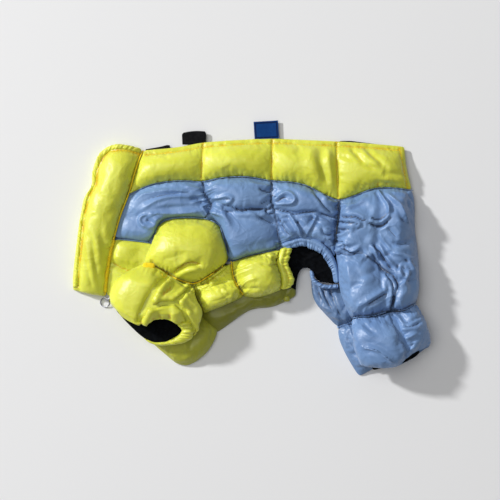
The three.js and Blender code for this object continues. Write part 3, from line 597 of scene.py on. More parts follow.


# how often a surface is smoothed to find its hollows, and how deep a full one then is; the hollows get
# painted shade
FINE_HOLLOWS = ((3, 0.5), (14, 2.0))
BROAD_HOLLOWS = ((3, 0.45), (14, 1.6), (48, 3.6))
HEM_HOLLOWS = ((2, 0.14), (8, 0.7))


def hollows(skin, seams=(), scales=FINE_HOLLOWS):
    """How deep each point lies in a seam, fold or gather, from 0 to 1: how much painted shade its colour gets
    there.
    """
    total = np.zeros(len(skin.co))
    for times, depth in scales:
        lift = ((skin.smoothed(skin.co, times) - skin.co) * skin.nor).sum(1) / MM
        total = np.maximum(total, 0.8 * rise(lift, 0.25 * depth, depth))
    for path, options in seams:
        # painted shade in uneven patches along each seam's gutter, as strong as the seam's mark says
        if options.get("dip", 0) >= 0.5:
            d, s, _ = path.measure(skin.co)
            patchy = 0.55 + 0.45 * ripple(s, 6, 7)
            gutter_shade = 0.55 * np.exp(-((d / 1.2) ** 2)) + 0.25 * np.exp(-((d / 4.5) ** 2))
            total = np.maximum(total, options.get("mark", 1) * patchy * gutter_shade)
    return total


def paint_shade_under(piece, amount):
    """Darkens a piece's colour by a share from 0 to 1: painted shade where it lies in the shadow of the
    pieces over it.
    """
    mark(piece.data, "painted_shade", np.full(len(piece.data.vertices), amount))


def settle(piece, nodes, body="garment"):
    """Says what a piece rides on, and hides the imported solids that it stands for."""
    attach(piece, body)
    if nodes:
        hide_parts(*([nodes] if isinstance(nodes, str) else nodes))


SLOTS = {"yellow": "yellow_nylon", "grey": "grey_nylon"}
CLOTHS = {"yellow": YELLOW, "grey": GREY}


def fine_wrinkles(skin, height, seed, angle=0.6):
    """Shallow uneven dimples of filled nylon, on the visible side."""
    up = upward(skin)
    broad = field(skin.co, 15 * MM, seed, angle, 1.8)
    small = field(skin.co, 5.5 * MM, seed + 1, angle + 0.9, 2.2)
    creased = 1 - 2 * np.abs(field(skin.co, 9 * MM, seed + 2, angle - 0.5, 2.6))
    return up * height * (0.6 * broad + 0.3 * small + 0.45 * np.maximum(creased, 0) ** 3)


def relief(skin, folds, puckers, fine, seed):
    """The height of a skin's folds, puckers and wrinkles, in millimetres."""
    total = np.zeros(len(skin.co))
    for path, depth, width, options in folds:
        total += crease(skin, path, depth, width, **options)
    for path, options in puckers:
        total += gathers(skin, path, **{key: options[key] for key in options if key != "mark"})
    return total + fine_wrinkles(skin, fine, seed)


def tuck_in(skin, tucks, held, share=1.0, margin=0):
    """Sinks a skin along its tucks before it is pumped up, and says how far that holds it."""
    for path, depth, width, _ in tucks:
        d, s, _ = path.measure(skin.co)
        hold = middle_part(path, s, 0.2, margin) * np.exp(-((d / width) ** 2))
        skin.co[:, 2] -= depth * MM * hold * upward(skin) * share
        held = np.maximum(held, 0.85 * hold)
    return held


def keep_over(skin, least=0.2):
    """Lifts what would lie in the surface under the garment."""
    skin.co[:, 2] = np.maximum(skin.co[:, 2], least * MM)
    skin.normals()


def spare_cloth(skin, grow, puckers):
    """How much longer the cloth is than its place: more beside each gathered seam."""
    even = grow(skin.co) if callable(grow) else np.full(len(skin.co), float(grow))
    total = even.copy()
    for path, options in puckers:
        d, _, _ = path.measure(skin.co)
        total += options.get("spare", 0.1) * np.exp(-((d / (1.4 * options["reach"])) ** 2))
    return np.minimum(total, even + 0.2)


def puffed(node, colour, held_at=(3.0, 7.0), grow=0.15, pressure=3.0, cap=7.0, folds=(), tucks=(),
           puckers=(), fine=0.35, seed=1, stiff=0.05, warp=None):
    """A filled panel: pumped up between its seams, then creased and gathered. It is held where
    it is thinner than held_at says, in millimetres."""
    skin = Skin(node, 2)
    if warp is not None:
        skin.co = skin.co + warp(skin)
        skin.normals()
    top = skin.nor[:, 2] > 0.15
    held = np.where(top, 1 - rise(skin.thickness(), *held_at), 1.0)
    held = np.clip(skin.smoothed(held, 1), 0, 1)
    held[~top] = 1
    held = tuck_in(skin, tucks, held)
    skin.normals()
    pump(skin, held, spare_cloth(skin, grow, puckers), pressure, cap, stiff)
    skin.refine(1)
    skin.push(relief(skin, folds, puckers, fine, seed) * rise(skin.nor[:, 2], -0.1, 0.4))
    keep_over(skin)
    scales = BROAD_HOLLOWS if colour == "grey" else FINE_HOLLOWS
    paint(skin, CLOTHS[colour], hollows(skin, puckers, scales))
    settle(skin.object, node)
    return skin


# ---- seams and folds of the upper half, in millimetres over the plan

SEAM_A = Path(-49, 68, -45, 53, -39.5, 42, -46, 31.5)
SEAM_B = Path(20.4, 68, 20.5, 49, 23, 38, 25.5, 26, 29.4, 2)
SEAM_C = Path(88, 48, 87, 32, 84, 17, 84, 7, 76, -3)
PINCH = Path(-40, 41.5, -24, 37.5, -8, 39.5, 8, 40.5, 24, 38)
PINCH_REAR = Path(24, 38, 44, 37.5, 58, 37, 72, 32, 84, 26)
YOKE_SEAM = Path(-122.8, 54, -104, 63, -90, 66.6, -76, 68, -62, 68, -49, 67.4, -32, 70.7, -15, 72.4,
                 0, 71.8, 20.4, 68.3, 39, 67, 55, 63.7, 71, 55.7, 87.4, 48.9, 103, 53, 120, 59.7,
                 132, 61.5, 145.5, 61, 162.8, 58.7, count=70)
COLLAR_SEAM = Path(-108.3, 99.3, -112.3, 89, -116.3, 76, -122.8, 54, -130.4, 34, -136.6, 12,
                   -140.6, -5, -144, -25, -146.4, -46, count=40)
CASING_LINE = Path(-111.6, 94.9, -121, 97.8, -132.2, 98.7, -142, 97.1, -148.5, 90.6, -152.6, 81.9,
                   -154.4, 72.1, -155.5, 63.5, -160.5, 55.9, -163.7, 46.1, -166, 35.3, -167.6, 24.4,
                   -168.4, 11.4, -170, -4.9, -171.8, -21.1, -173.6, -39, count=60)
CASING_EDGE = Path(-109.4, 100.4, -120.3, 103.7, -134.4, 105.2, -144, 102.4, -151.2, 96.8, -156, 88.2,
                   -159.2, 77.6, -160, 65.6, -161.4, 60.6, -165.4, 54.4, -167.6, 46, -170.1, 35.3,
                   -172.1, 26.6, -173.9, 11.4, -175.5, -4.9, -177.1, -21.1, -178.9, -39.6, count=60)
COLLAR_SEAM_LOW = Path(-137.4, 9, -140.9, -5, -144.2, -25, -146.2, -43)
BACK_EDGE = Path(-106, 94.5, -74, 97.6, -48, 102.4, -13, 105, 21.5, 106.3, 53, 105.1, 86, 103.7,
                 119, 101.6, 150, 99, count=60)
TAIL_EDGE = Path(149, 101, 151.4, 88, 154, 74, 157.4, 60)
QUILT = [Path(-48, 107, -49, 88, -50, 69), Path(21.5, 111, 21, 90, 20.2, 69),
         Path(86, 108, 86, 80, 87.4, 50)]
SLEEVE_TOP = Path(-98, 7, -94, 22.5, -84, 29.3, -66, 31.5, -46, 30.3, -36, 26.5, -31, 22.5, -26, 6,
                  -22, -9, count=40)
ARMHOLE = Path(-95.4, 15.5, -93.6, 22.5, -84, 29.3, -66, 31.5, -46, 30.3, -36, 26.5, -31, 22.5, -26, 6,
               -22, -9, count=40)
SLEEVE_GATHER = Path(-107, -15.5, -93, -19.5, -79, -27.5, -58, -34.5, -42, -27, -28, -17)
LEG_GATHER = Path(99.5, -69, 110, -67, 124, -66, 138, -61.5, 152, -60, 165, -54)
LEG_PINCH = Path(115, -7, 128, -17, 140, -27, 145, -36, 140, -52, 138, -62)
BELLY_SEAM = Path(-20, -12, -17, -30, -8, -46)
BELLY_SIDE = Path(-20, -13, -4, -7, 12, -3.5, 30, 0)

TIGHT = dict(height=1.9, pitch=5.2, reach=9, dip=0.9, spare=0.16)
LIGHT = dict(height=0.6, pitch=5, reach=5.5, dip=0.25, spare=0.05)


def collar_notch(skin):
    """The collar's free edge is drawn in where its casing bends."""
    x, y = skin.co[:, 0] / MM, skin.co[:, 1] / MM
    at_edge = rise(-x, 146, 160)
    out = np.zeros_like(skin.co)
    out[:, 0] = MM * at_edge * (3.2 * np.exp(-(((y - 65) / 7) ** 2)) - 1.4 * np.exp(-(((y - 50) / 9) ** 2)))
    return out


collar = puffed(
    "collar", "yellow", grow=0.012, pressure=2, cap=2.5, seed=11, fine=0.06, stiff=1.5, warp=collar_notch,
    puckers=[(COLLAR_SEAM, dict(TIGHT, seed=21, height=0.8, slant=0.6, pitch=4.6, reach=5.5, spare=0.03)),
             (CASING_LINE, dict(height=0.9, pitch=3.4, reach=3.6, dip=1.2, dip_width=1.8, slant=0.8,
                                # mark: how strong the painted shade in this seam's gutter is
                                seed=20, sides=(1, 0), spare=0.04, mark=1.7))],
    folds=[
        fold(0.9, 2.0, -168, -4, -164, -15, -160, -31, -158, -42, sharp=0.3),
        fold(1.2, 2.4, -159.5, 20, -156.6, 1, -154, -21, -151, -41, sharp=0.3),
        fold(0.8, 3.4, -150, 30, -147, 8, -145, -8, sharp=0.1),
        fold(0.5, 4, -130, 84, -136, 68, -140, 50, sharp=0),
        fold(-0.6, 3.4, -152, 60, -143, 55, -136, 50, sharp=0.2),
    ],
)
back = puffed(
    "back_near", "yellow", grow=0.012, pressure=2.2, cap=2.5, seed=12, fine=0.08, stiff=1.5,
    puckers=[(YOKE_SEAM, dict(LIGHT, seed=22, height=1.2, pitch=4.8, reach=7.5)),
             (COLLAR_SEAM, dict(TIGHT, seed=23, height=0.7, spare=0.03, pitch=4.5, reach=6)),
             (BACK_EDGE, dict(height=0.7, pitch=3.8, reach=4, dip=0.7, seed=19, spare=0.02)),
             (TAIL_EDGE, dict(height=0.5, pitch=3.6, reach=3, dip=0.7, seed=17, spare=0.02)),
             (Path(92, 55, 106, 58, 120, 64, 138, 66, 158, 63),
              dict(height=0.8, pitch=4.2, reach=6, seed=18, spare=0.06, slant=0.6))]
    + [(path, dict(height=0.25, pitch=4, reach=4, dip=1.5, dip_width=1.3, seed=24 + i, spare=0.02))
       for i, path in enumerate(QUILT)],
    folds=[
        fold(2.6, 5, 70, 104, 69, 92, 72, 78, 79, 60, sharp=0),
        fold(1.3, 8, 54, 103, 50, 88, 53, 72, sharp=0),
        fold(-1.3, 2.8, 77, 103, 77, 84, 82, 62, sharp=0.1),
        fold(1.4, 2.4, 99, 103, 106, 93, 114, 84.5, sharp=0.1),
        fold(-1.3, 3.2, 107, 101, 118, 91, 129, 81, sharp=0.1),
        fold(1.5, 2.6, 113, 101, 126, 88, 139, 76, sharp=0.1),
        fold(1.0, 2.2, 112, 84.5, 126, 79.5, 139, 76.5, sharp=0.1),
        fold(0.7, 2.2, 86, 94, 95, 91.5, 104, 89, sharp=0.1),
        fold(1.4, 2.6, 128, 74, 141, 75, 153, 73, sharp=0.1),
        fold(-0.8, 2.4, 118, 70, 136, 70, 152, 67, sharp=0.1),
    ],
)
side = puffed(
    "side_near", "grey", pressure=3, cap=7, seed=13, fine=0.12, stiff=0.2,
    grow=lambda co: 0.012 + 0.12 * rise(co[:, 0] / MM, 6, 40) + 0.03 * rise(co[:, 0] / MM, -50, -30),
    tucks=[
        fold(3.8, 3.0, PINCH),
        fold(2.8, 2.6, PINCH_REAR),
        fold(-1.2, 2, 39, 34, 46, 22, 51, 9),
        fold(2.2, 3, 65, 34, 60, 22, 52, 9),
    ],
    puckers=[(SEAM_A, dict(TIGHT, seed=31, height=2.4, reach=12, pitch=6.5)),
             (SEAM_B, dict(TIGHT, seed=32, height=2.4, reach=11, pitch=7)),
             (SEAM_C, dict(TIGHT, seed=33, height=2.2, reach=10, pitch=6.5)),
             (YOKE_SEAM, dict(LIGHT, seed=34)), (PINCH, dict(LIGHT, seed=35, reach=7))],
    folds=[
        fold(-1.6, 1.8, -118, 45.5, -111, 52.4, -101, 56, -83, 58.7, -66, 57.6, -56, 54.7, over=0.4),
        fold(-1.3, 1.6, -112, 36.3, -103, 43.2, -89, 50.1, -72, 52.4, -55, 51.3),
        fold(1.4, 1.6, -116, 40, -108, 47, -96, 52, -80, 55, -62, 55, lips=0),
        fold(-1.8, 1.9, -106.4, 34, -95, 35.8, -78, 37.5, -55, 38.6, -43, 39.8, over=0.3),
        fold(-1.9, 1.6, -102, 35, -108, 33, -111, 29.5, -109, 24.5, -102, 21),
        fold(2.4, 2.6, -105, 30, -100, 27, -96, 24, sharp=0.2),
        fold(-1.4, 1.8, -67, 62.7, -57, 60.5, -48, 58.2),
        fold(2.6, 2.4, -62, 50.1, -55, 50, -46.7, 45.5),
        fold(-1.7, 1.7, -44, 51.3, -33, 50.8, -24, 52.5, -19, 50, -23, 46.5, -32, 45.5),
        fold(-1.0, 1.6, -48, 65, -41, 66.2, -31, 68.5, -18, 70),
        fold(-1.3, 1.6, -45, 57, -38, 61.6, -30, 65),
        fold(-0.9, 2.6, -38, 32, -30, 22, -24, 6),
        fold(1.3, 1.6, -31.8, 43.8, -20.3, 42.1, -11, 38.8, -1, 39.8, 10, 40, 21, 41.4, over=0.4),
        fold(-2.6, 3.0, -99, 18, -96, 27, -86, 33.8, -66, 36, -46, 34.8, -38, 31, sharp=0, lips=0,
             taper=0.1),
        fold(-2.8, 3.4, -26, -4, -18, -7, -4, -2.4, 12, 1, 27, 4.5, sharp=0, lips=0, taper=0.1),
        fold(-1.3, 1.8, -4, 66, 8.4, 63.3, 19.3, 60.8),
        fold(1.8, 1.8, 7, 61, 14, 58, 20, 56),
        fold(2.0, 1.6, 8, 43.5, 16.9, 48.7, 21.1, 51.1),
        fold(2.0, 1.7, 3.5, 35.4, 13.2, 29.3, 25.4, 24.5),
        fold(-1.2, 1.8, -4, 36, 6, 33, 14, 33),
        fold(1.6, 1.4, 13, 39, 18, 35.4, 24, 35),
        fold(-2.3, 1.7, 22.3, 47.5, 29, 53, 35, 56.6, 41, 54, 43.5, 49.3, 40, 45.7, 31.4, 45.1, 23, 44,
             taper=0.08),
        fold(1.4, 2.0, 26, 49, 32, 51, 37, 50, sharp=0.2),
        fold(1.8, 1.5, 22.3, 41.5, 29, 38.4, 37.5, 37.2, 43.5, 35.4, 52, 36.6, 61.7, 37.2, 69, 38.1,
             over=0.4),
        fold(-2.2, 1.5, 37.5, 36.6, 40, 31.8, 46, 22.1, 51.4, 9.9, taper=0.1),
        fold(-2.4, 1.6, 51.4, 8.7, 57, 18.4, 63, 28.1, 64.7, 34.2, taper=0.1),
        fold(2.4, 3.4, 44, 30, 50, 24, 55, 20, sharp=0.1, lips=0),
        fold(-1.8, 2.0, 60, 36, 70, 29.5, 80, 26),
        fold(1.6, 1.6, 66, 35, 74, 33, 85, 28),
        fold(1.9, 1.7, 70, 23, 73, 15, 80, 14.5, 83, 20),
        fold(2.2, 1.6, 60.5, 58.4, 68, 51, 74, 41.4, 84.7, 33),
        fold(-1.6, 1.9, 64, 57, 74, 50, 84, 44),
        fold(2.2, 1.6, 25.4, 36.6, 30.2, 23.3, 35, 16, 42.3, 11.2),
        fold(-1.4, 1.6, 30, 32, 35, 23, 42, 16),
        fold(1.2, 1.6, 53, 6, 64, 4, 76, 6),
    ],
)
haunch = puffed(
    "haunch_near", "grey", grow=0.07, pressure=2.6, cap=5, seed=14, fine=0.15, stiff=0.3,
    tucks=[fold(3.6, 2.6, LEG_PINCH), fold(1.8, 2.4, 90, 0, 102, -4, 116, -6)],
    puckers=[(SEAM_C, dict(TIGHT, seed=41, reach=13, height=2.6, pitch=7)), (YOKE_SEAM, dict(LIGHT, seed=42)),
             (LEG_GATHER, dict(TIGHT, seed=43, height=1.5, reach=10)),
             (LEG_PINCH, dict(TIGHT, seed=44, height=1.0, reach=10, slant=0.7))],
    folds=[
        fold(-2.6, 1.8, 127, 59.6, 132, 51, 136.2, 44, 137.4, 34, over=0.4, taper=0.15),
        fold(-2.2, 1.7, 129.6, 59.6, 139.3, 51, 147.7, 42.7, 152.6, 31.8, 160, 20, over=-0.3),
        fold(2.2, 4, 156, 56, 158, 44, 160, 30, sharp=0.1),
        fold(3.0, 7, 98, 46, 110, 42, 122, 36, sharp=0, lips=0.2),
        fold(-1.9, 1.7, 89.6, 34.2, 95.6, 40.2, 105, 46.3, 117.4, 52.4),
        fold(2.2, 1.3, 87.8, 33, 94.4, 32, 103, 32.6, 110, 29.3, 116, 28, over=0.5),
        fold(-2.6, 1.5, 116, 29.5, 122, 26.5, 128, 26.5, 134, 30.5, 137.4, 35, taper=0.12),
        fold(2.2, 1.5, 118, 26, 123, 22.6, 129, 22.8, 136, 28, taper=0.12),
        fold(-2.2, 1.5, 86, 28.1, 92, 29.3, 103, 27.6, 107.4, 24, 103, 22.6, taper=0.1),
        fold(-1.5, 1.5, 85, 22.1, 93, 23.3, 100, 23.5),
        fold(-2.0, 1.6, 85, 13.6, 90.8, 14.8, 96, 19.6),
        fold(2.6, 6, 98, 20, 108, 14, 118, 8, sharp=0, lips=0.2),
        fold(1.6, 1.8, 89, 10, 93, 3, 92, -2),
        fold(-1.5, 1.8, 86, 2, 92, 6, 97, 4),
        fold(-1.8, 1.7, 126, 18, 132, 7.5, 140.4, -3.4),
        fold(1.7, 2.6, 134, 22, 141, 14, 146, 8),
        fold(-1.9, 1.6, 136.8, -3.4, 150, -5.8, 158.6, -9.4, 166, -7),
        fold(1.8, 2.4, 138, 6, 149, 5, 160, 8),
        fold(-1.7, 1.6, 155, -7, 159.8, -16.7, 164.7, -25.2),
        fold(-1.2, 2, 142, 30, 152, 24, 162, 22),
        fold(-2.6, 1.6, 117.4, 5.1, 123.5, -4.6, 130.8, -15.5, 139.3, -24, taper=0.12),
        fold(2.0, 1.4, 121, 6, 127, -4, 134, -14, 143, -23, taper=0.12),
        fold(-1.6, 1.7, 126, 10, 131, -2, 138, -13, 145.3, -20.3),
        fold(2.2, 1.3, 133, -24, 139.3, -32.5, 140.6, -44.6, 139.3, -60, taper=0.1),
        fold(-1.6, 1.6, 150, -12, 147, -22, 152, -28, 156, -19),
        fold(-2.0, 1.7, 157, -19, 152.6, -31.3, 145.3, -41),
        fold(2.0, 4.5, 160, -28, 158, -44, 148, -56, sharp=0),
        fold(-1.5, 2.6, 134.4, -39.7, 122.3, -45.8, 110, -53, 100.5, -59, sharp=0.2),
        fold(2.0, 1.8, 137, -42, 124, -49.5, 112, -57, sharp=0.4),
        fold(1.2, 3, 104, -28, 116, -24, 126, -22, sharp=0.1),
        fold(2.8, 1.3, 76.2, -4.6, 84.7, -5.8, 90, -3.6, 100.5, -4.4, 110, -0.4, over=0.5),
        fold(-1.6, 1.6, 88, -1, 100, -1, 110, 3),
        fold(-1.2, 1.7, 116, -7, 123.5, -14.3, 129.6, -20.3),
        fold(-1.3, 3, 94, -8, 97, -26, 99, -46),
        fold(0.9, 4, 103, -12, 106, -26, 106, -40, sharp=0.1),
    ],
)

# ---- chest, sleeve and belly

chest = puffed(
    "chest_near", "yellow", grow=0.012, pressure=2.2, cap=3, seed=15, fine=0.08, stiff=1,
    puckers=[(COLLAR_SEAM, dict(LIGHT, seed=51, height=0.5, dip=0.8))],
    folds=[
        fold(1.8, 3.8, -143, -11, -130, -18, -115, -24, over=0.4, sharp=0.1),
        fold(-1.1, 4, -140, -4, -126, -10, -108, -13, sharp=0),
        fold(-0.8, 4, -140, -34, -128, -34, -118, -36, sharp=0),
    ],
)
sleeve_upper = puffed(
    "sleeve_near_upper", "yellow", grow=0.06, pressure=3, cap=6, seed=16, fine=0.22, stiff=0.2,
    tucks=[fold(2.6, 2.2, -79, -26, -70, -20.5, -61, -16, -48, -15)],
    puckers=[(SLEEVE_GATHER, dict(TIGHT, seed=52, height=1.5)), (SLEEVE_TOP, dict(LIGHT, seed=53))],
    folds=[
        fold(3.0, 2, -78, -25, -69, -19.5, -60.5, -15.5, -48, -15.4, over=-0.6),
        fold(-1.4, 2.6, -66, -24, -56, -20, -46, -20, sharp=0.2),
        fold(-0.9, 2.5, -96, 22, -98, 14, -99, 4),
        fold(-0.8, 3, -66, 26, -58, 22, -44, 24),
        fold(0.9, 4, -92, -12, -76, -8, -60, -2),
        fold(0.8, 3, -40, -18, -34, -10, -30, 2),
    ],
)
belly_front = puffed(
    "belly_front_near", "yellow", grow=0.1, pressure=3, cap=6, seed=17, fine=0.25,
    tucks=[fold(2.0, 2, -36.5, -28, -26, -33, -15, -35)],
    puckers=[(Path(-37, -28, -48, -34, -58, -36), dict(TIGHT, seed=54)),
             (BELLY_SEAM, dict(TIGHT, seed=55, height=1.5, reach=9)),
             (Path(-58, -36, -56, -44, -52, -54, -47, -64), dict(TIGHT, seed=56, height=1.0))],
    folds=[fold(-1.1, 2, -36, -40, -28, -40, -22, -44), fold(0.9, 2, -40, -52, -30, -50, -18, -44)],
)
belly_rear = puffed(
    "belly_rear_near", "yellow", grow=0.1, pressure=3, cap=6, seed=18, fine=0.25,
    puckers=[(BELLY_SEAM, dict(TIGHT, seed=57, height=1.7, reach=11, slant=0.3)),
             (Path(30.5, 0, 26.5, -12, 30.5, -26, 30, -40), dict(TIGHT, seed=58, reach=6))],
    folds=[
        fold(-1.6, 2.2, -12, -38, -2, -31, 8, -28),
        fold(1.4, 2, -12, -42, 0, -39, 12, -40),
        fold(1.2, 2, 8, -14, 18, -17, 26, -15),
        fold(-0.9, 3, -8, -18, 4, -14, 14, -12),
    ],
)


def puffed_tube(skin, nodes, colour, grow, tucks, puckers, folds, seed, fine):
    """A padded tube lying down, open at its ends: its inner side and its underside stay put."""
    outer = skin.outside()
    held = 1 - outer * rise(skin.nor[:, 2], -0.3, 0.15)
    held = np.maximum(held, skin.smoothed(held, 2) * 0.8)
    held = tuck_in(skin, tucks, held, outer, -1)
    skin.normals()
    pump(skin, np.clip(held, 0, 1), spare_cloth(skin, grow, puckers), pressure=3.0, cap=6.0, stiff=0.1)
    skin.refine(1)
    show = upward(skin) * skin.outside()
    skin.push(relief(skin, folds, puckers, fine, seed) * show)
    keep_over(skin)
    paint(skin, CLOTHS[colour], hollows(skin))
    settle(skin.object, nodes)
    return skin


def lying_tube(name, upper, lower, middle, up, down, depths, around=76, rows=34):
    """The wall between two depths of a lying tube, as a mesh. upper and lower are its two sides'
    nets, rows of x, y points; middle, up and down are heights over (u, v)."""
    upper, lower = np.array(upper, float), np.array(lower, float)
    points = []
    for depth in depths:
        for v in np.linspace(0, 1, rows):
            for i in range(around):
                turn = i / around
                over = turn < 0.5
                u = turn * 2 if over else 2 - turn * 2
                across = (1 - math.cos(math.pi * u)) / 2
                net = upper if over else lower
                line = [spline(net[:, k], v) for k in range(net.shape[1])]
                margin = depth / np.linalg.norm(line[-1] - line[0])
                x, y = spline(line, margin + (1 - 2 * margin) * across)
                height = max(0.3, (up if over else down)(across, v) - depth)
                lift = height * math.sin(math.pi * u) ** 0.8
                points.append((x, y, middle(across, v) + (lift if over else -lift)))
    layer = around * rows
    faces = []
    for j in range(rows - 1):
        for i in range(around):
            a, b = j * around + i, j * around + (i + 1) % around
            faces.append((a, b, b + around, a + around))
            faces.append((layer + a, layer + a + around, layer + b + around, layer + b))
    for i in range(around):
        a, b = i, (i + 1) % around
        faces.append((a, layer + a, layer + b, b))
        a, b = a + layer - around, b + layer - around
        faces.append((a, b, layer + b, layer + a))
    return built_mesh(name, points, faces)


def spline(points, t):
    """The point at t, from 0 to 1, of a smooth curve through evenly numbered points."""
    points = np.asarray(points)
    last = len(points) - 1
    place = min(max(t, 0.0), 1.0) * last
    i = min(int(place), last - 1)
    s = place - i
    b, c = points[i], points[i + 1]
    a = points[i - 1] if i else 2 * b - c
    d = points[i + 2] if i + 2 <= last else 2 * c - b
    return b + 0.5 * s * (c - a + s * (2 * a - 5 * b + 4 * c - d + s * (3 * (b - c) + d - a)))


def step(x, start, end):
    """rise of a single number."""
    return float(rise(x, start, end))


# Outlines of the sleeve's lower part: rows from its seam to its mouth, each from left to right.
FOREARM_UPPER = [
    [(-118, -19.3), (-106, -16.1), (-93, -19.9), (-79, -27.9), (-67, -34.1), (-58.8, -36.1)],
    [(-133, -30.9), (-117, -32.9), (-101, -36.9), (-85, -43.9), (-69, -46.9), (-54, -48.9)],
    [(-139, -43.9), (-125, -49), (-108, -54.5), (-90, -56.5), (-69, -58), (-48, -63.5)],
    [(-138, -56), (-125, -67.5), (-110, -73.4), (-87, -69), (-72.5, -74.5), (-54.5, -84.5)],
]
FOREARM_LOWER = FOREARM_UPPER[:2] + [
    [(-138, -45.9), (-124, -53), (-107, -61), (-90, -65), (-70, -66), (-49, -67)],
    [(-137, -57.5), (-121, -75.5), (-104, -90.3), (-88, -96), (-71, -91), (-55, -85.5)],
]


def forearm_middle(u, v):
    """The height of its middle, where u runs across it and v along it, both from 0 to 1."""
    return 19 + 5.5 * step(v, 0, 0.35) - 3 * step(1 - u, 0.8, 1)


def mouth_shut(u, v):
    """1 where the sleeve's end is sewn shut beside its mouth."""
    return step(u, 0.74, 0.9) * step(v, 0.72, 1)


def forearm_up(u, v):
    """How far it reaches over its middle."""
    full = 5 + 13.5 * step(v, 0, 0.3) - 4.5 * step(v, 0.85, 1)
    return full - (full - 6) * mouth_shut(u, v)


def forearm_down(u, v):
    """How far it reaches under its middle."""
    return (forearm_middle(u, v) - 14.2) * (1 - 0.5 * mouth_shut(u, v))


MOUTH = Path(-118, -72, -111, -74.5, -105, -73, -97.6, -73.7, -90, -70.6, -83.5, -69.2, -76.5, -71.3,
             -71, -77, count=40)
LOBE_LINE = Path(-79, -26, -90, -36, -98.5, -49, -104, -61, -111, -74)
CUFF_LINE = Path(-104, -57, -95.5, -56.2, -90, -53.7, -82.8, -52.3, -75, -52.6)
FLAP_LINE = Path(-75, -51, -67.4, -57.9, -63.9, -64.2, -61.8, -70.6, -58.3, -76, -54, -85)
UPPER_FLAP = Path(-75, -52, -69, -47, -61, -39, -56, -33)
FOREARM_WALL = (0, 2)  # how deep its outer and its inner side lie, in millimetres
LINING_WALL = (2.6, 3.6)
forearm_mesh = lying_tube("forearm", FOREARM_UPPER, FOREARM_LOWER, forearm_middle, forearm_up, forearm_down,
                          FOREARM_WALL)
forearm = puffed_tube(
    Skin("sleeve_near_forearm", 0, forearm_mesh, "sleeve_near_lower_skin"),
    ["sleeve_near_forearm", "sleeve_near_cuff"], "yellow", grow=0.06, seed=61, fine=0.22,
    tucks=[
        fold(7, 2.6, LOBE_LINE),
        fold(5, 2.4, CUFF_LINE),
        fold(5, 2.4, FLAP_LINE),
        fold(5, 2.4, UPPER_FLAP),
    ],
    puckers=[(SLEEVE_GATHER, dict(TIGHT, seed=62, height=1.5)), (CUFF_LINE, dict(LIGHT, seed=63, height=0.7)),
             (MOUTH, dict(height=2.0, pitch=5.0, reach=14, seed=64, spare=0.12)),
             (UPPER_FLAP, dict(TIGHT, seed=66, height=1.6, dip=0)),
             (FLAP_LINE, dict(LIGHT, seed=65, height=0.9, reach=8))],
    folds=[
        fold(5.0, 2.2, LOBE_LINE, over=0.8, taper=0.1),
        fold(3.6, 1.8, CUFF_LINE, over=0.6, taper=0.08),
        fold(3.4, 1.7, FLAP_LINE, over=0.5, taper=0.08),
        fold(3.6, 1.8, UPPER_FLAP, taper=0.08),
        fold(1.4, 1.6, -76, -36, -84, -42, -92, -46),
        fold(-1.4, 2, -66, -38, -70, -44, -78, -49),
        fold(-1.5, 2, -80, -32, -88, -42, -95, -52),
        fold(-1.0, 2.2, -62, -40, -66, -54, -58, -66),
        fold(-0.8, 2, -126, -60, -118, -66, -112, -70),
        fold(-0.7, 5, -96, -26, -104, -44, -110, -62),
    ],
)


def lining_up(u, v):
    """How far the sleeve's lining reaches over the middle: it closes towards the seam."""
    return max(1.4, (forearm_up(u, v) - 3.2) * step(v, 0.3, 0.95))


def lining_down(u, v):
    """How far the sleeve's lining reaches under the middle."""
    return max(1.2, forearm_down(u, v) - 3.0)


LEG_FOLD = Path(138, -62, 143, -74, 149, -88, 155, -101)
leg_cuff = puffed_tube(
    Skin("leg_near_cuff", 2), "leg_near_cuff", "grey", grow=0.08, seed=66, fine=0.35,
    tucks=[fold(5, 3, LEG_FOLD)],
    puckers=[(LEG_GATHER, dict(TIGHT, seed=67, height=1.5, reach=9)),
             (LEG_FOLD, dict(LIGHT, seed=68, height=0.7))],
    folds=[
        fold(2.4, 1.7, LEG_FOLD, taper=0.08),
        fold(2.0, 1.5, 147, -75, 158, -76, 171, -71),
        fold(2.0, 1.8, 150, -108, 156, -98, 163, -92),
        fold(-2.0, 1.8, 139, -64, 147, -69, 152, -78),
        fold(-2.2, 2.4, 106, -95, 122, -99, 136, -108, 144, -113, over=0.5),
        fold(1.2, 2, 110, -98, 124, -102, 138, -113),
        fold(1.4, 2.4, 110, -72, 118, -80, 124, -82),
        fold(1.5, 2, 146, -71, 158, -71, 171, -66),
        fold(-1.5, 2.2, 147, -80, 158, -78, 169, -80),
        fold(-1.8, 2.2, 148, -98, 153, -88, 166, -82),
        fold(1.0, 2, 152, -100, 158, -92, 168, -88),
    ],
)
belly_far = puffed(
    "belly_far", "yellow", grow=0.05, pressure=2.5, cap=3, seed=71, fine=0.25, held_at=(2.4, 5.5),
    puckers=[(Path(-31, -81, -21, -75, 0, -60.5, 22, -58, 46, -48), dict(LIGHT, seed=72))],
)
sleeve_far = puffed(
    "sleeve_far", "yellow", grow=0.04, pressure=2.5, cap=4, seed=73, fine=0.3, held_at=(2.6, 7),
    folds=[fold(-1.2, 4, -92, -70, -72, -88, -58, -108), fold(1.0, 3, -44, -82, -58, -92, -64, -104)],
)
FAR_LEG_TOP = Path(60, -22, 66, -33, 75, -35, 95, -36)
FAR_LEG_SEAM = Path(87, -79, 97, -75, 110, -72)
leg_far_upper = puffed(
    "leg_far_upper", "grey", grow=0.08, pressure=3, cap=4, seed=74, held_at=(2.6, 7),
    puckers=[(FAR_LEG_TOP, dict(TIGHT, seed=75, reach=11, height=1.4)),
             (FAR_LEG_SEAM, dict(TIGHT, seed=76, reach=9))],
    folds=[
        fold(2.2, 1.8, 65, -34, 68, -46, 76, -60),
        fold(2.4, 2.0, 71, -36, 76, -52, 86, -68),
        fold(2.0, 1.8, 78, -37, 84, -56, 92, -72),
        fold(-1.2, 1.6, 68, -36, 73, -50, 82, -64),
    ],
)
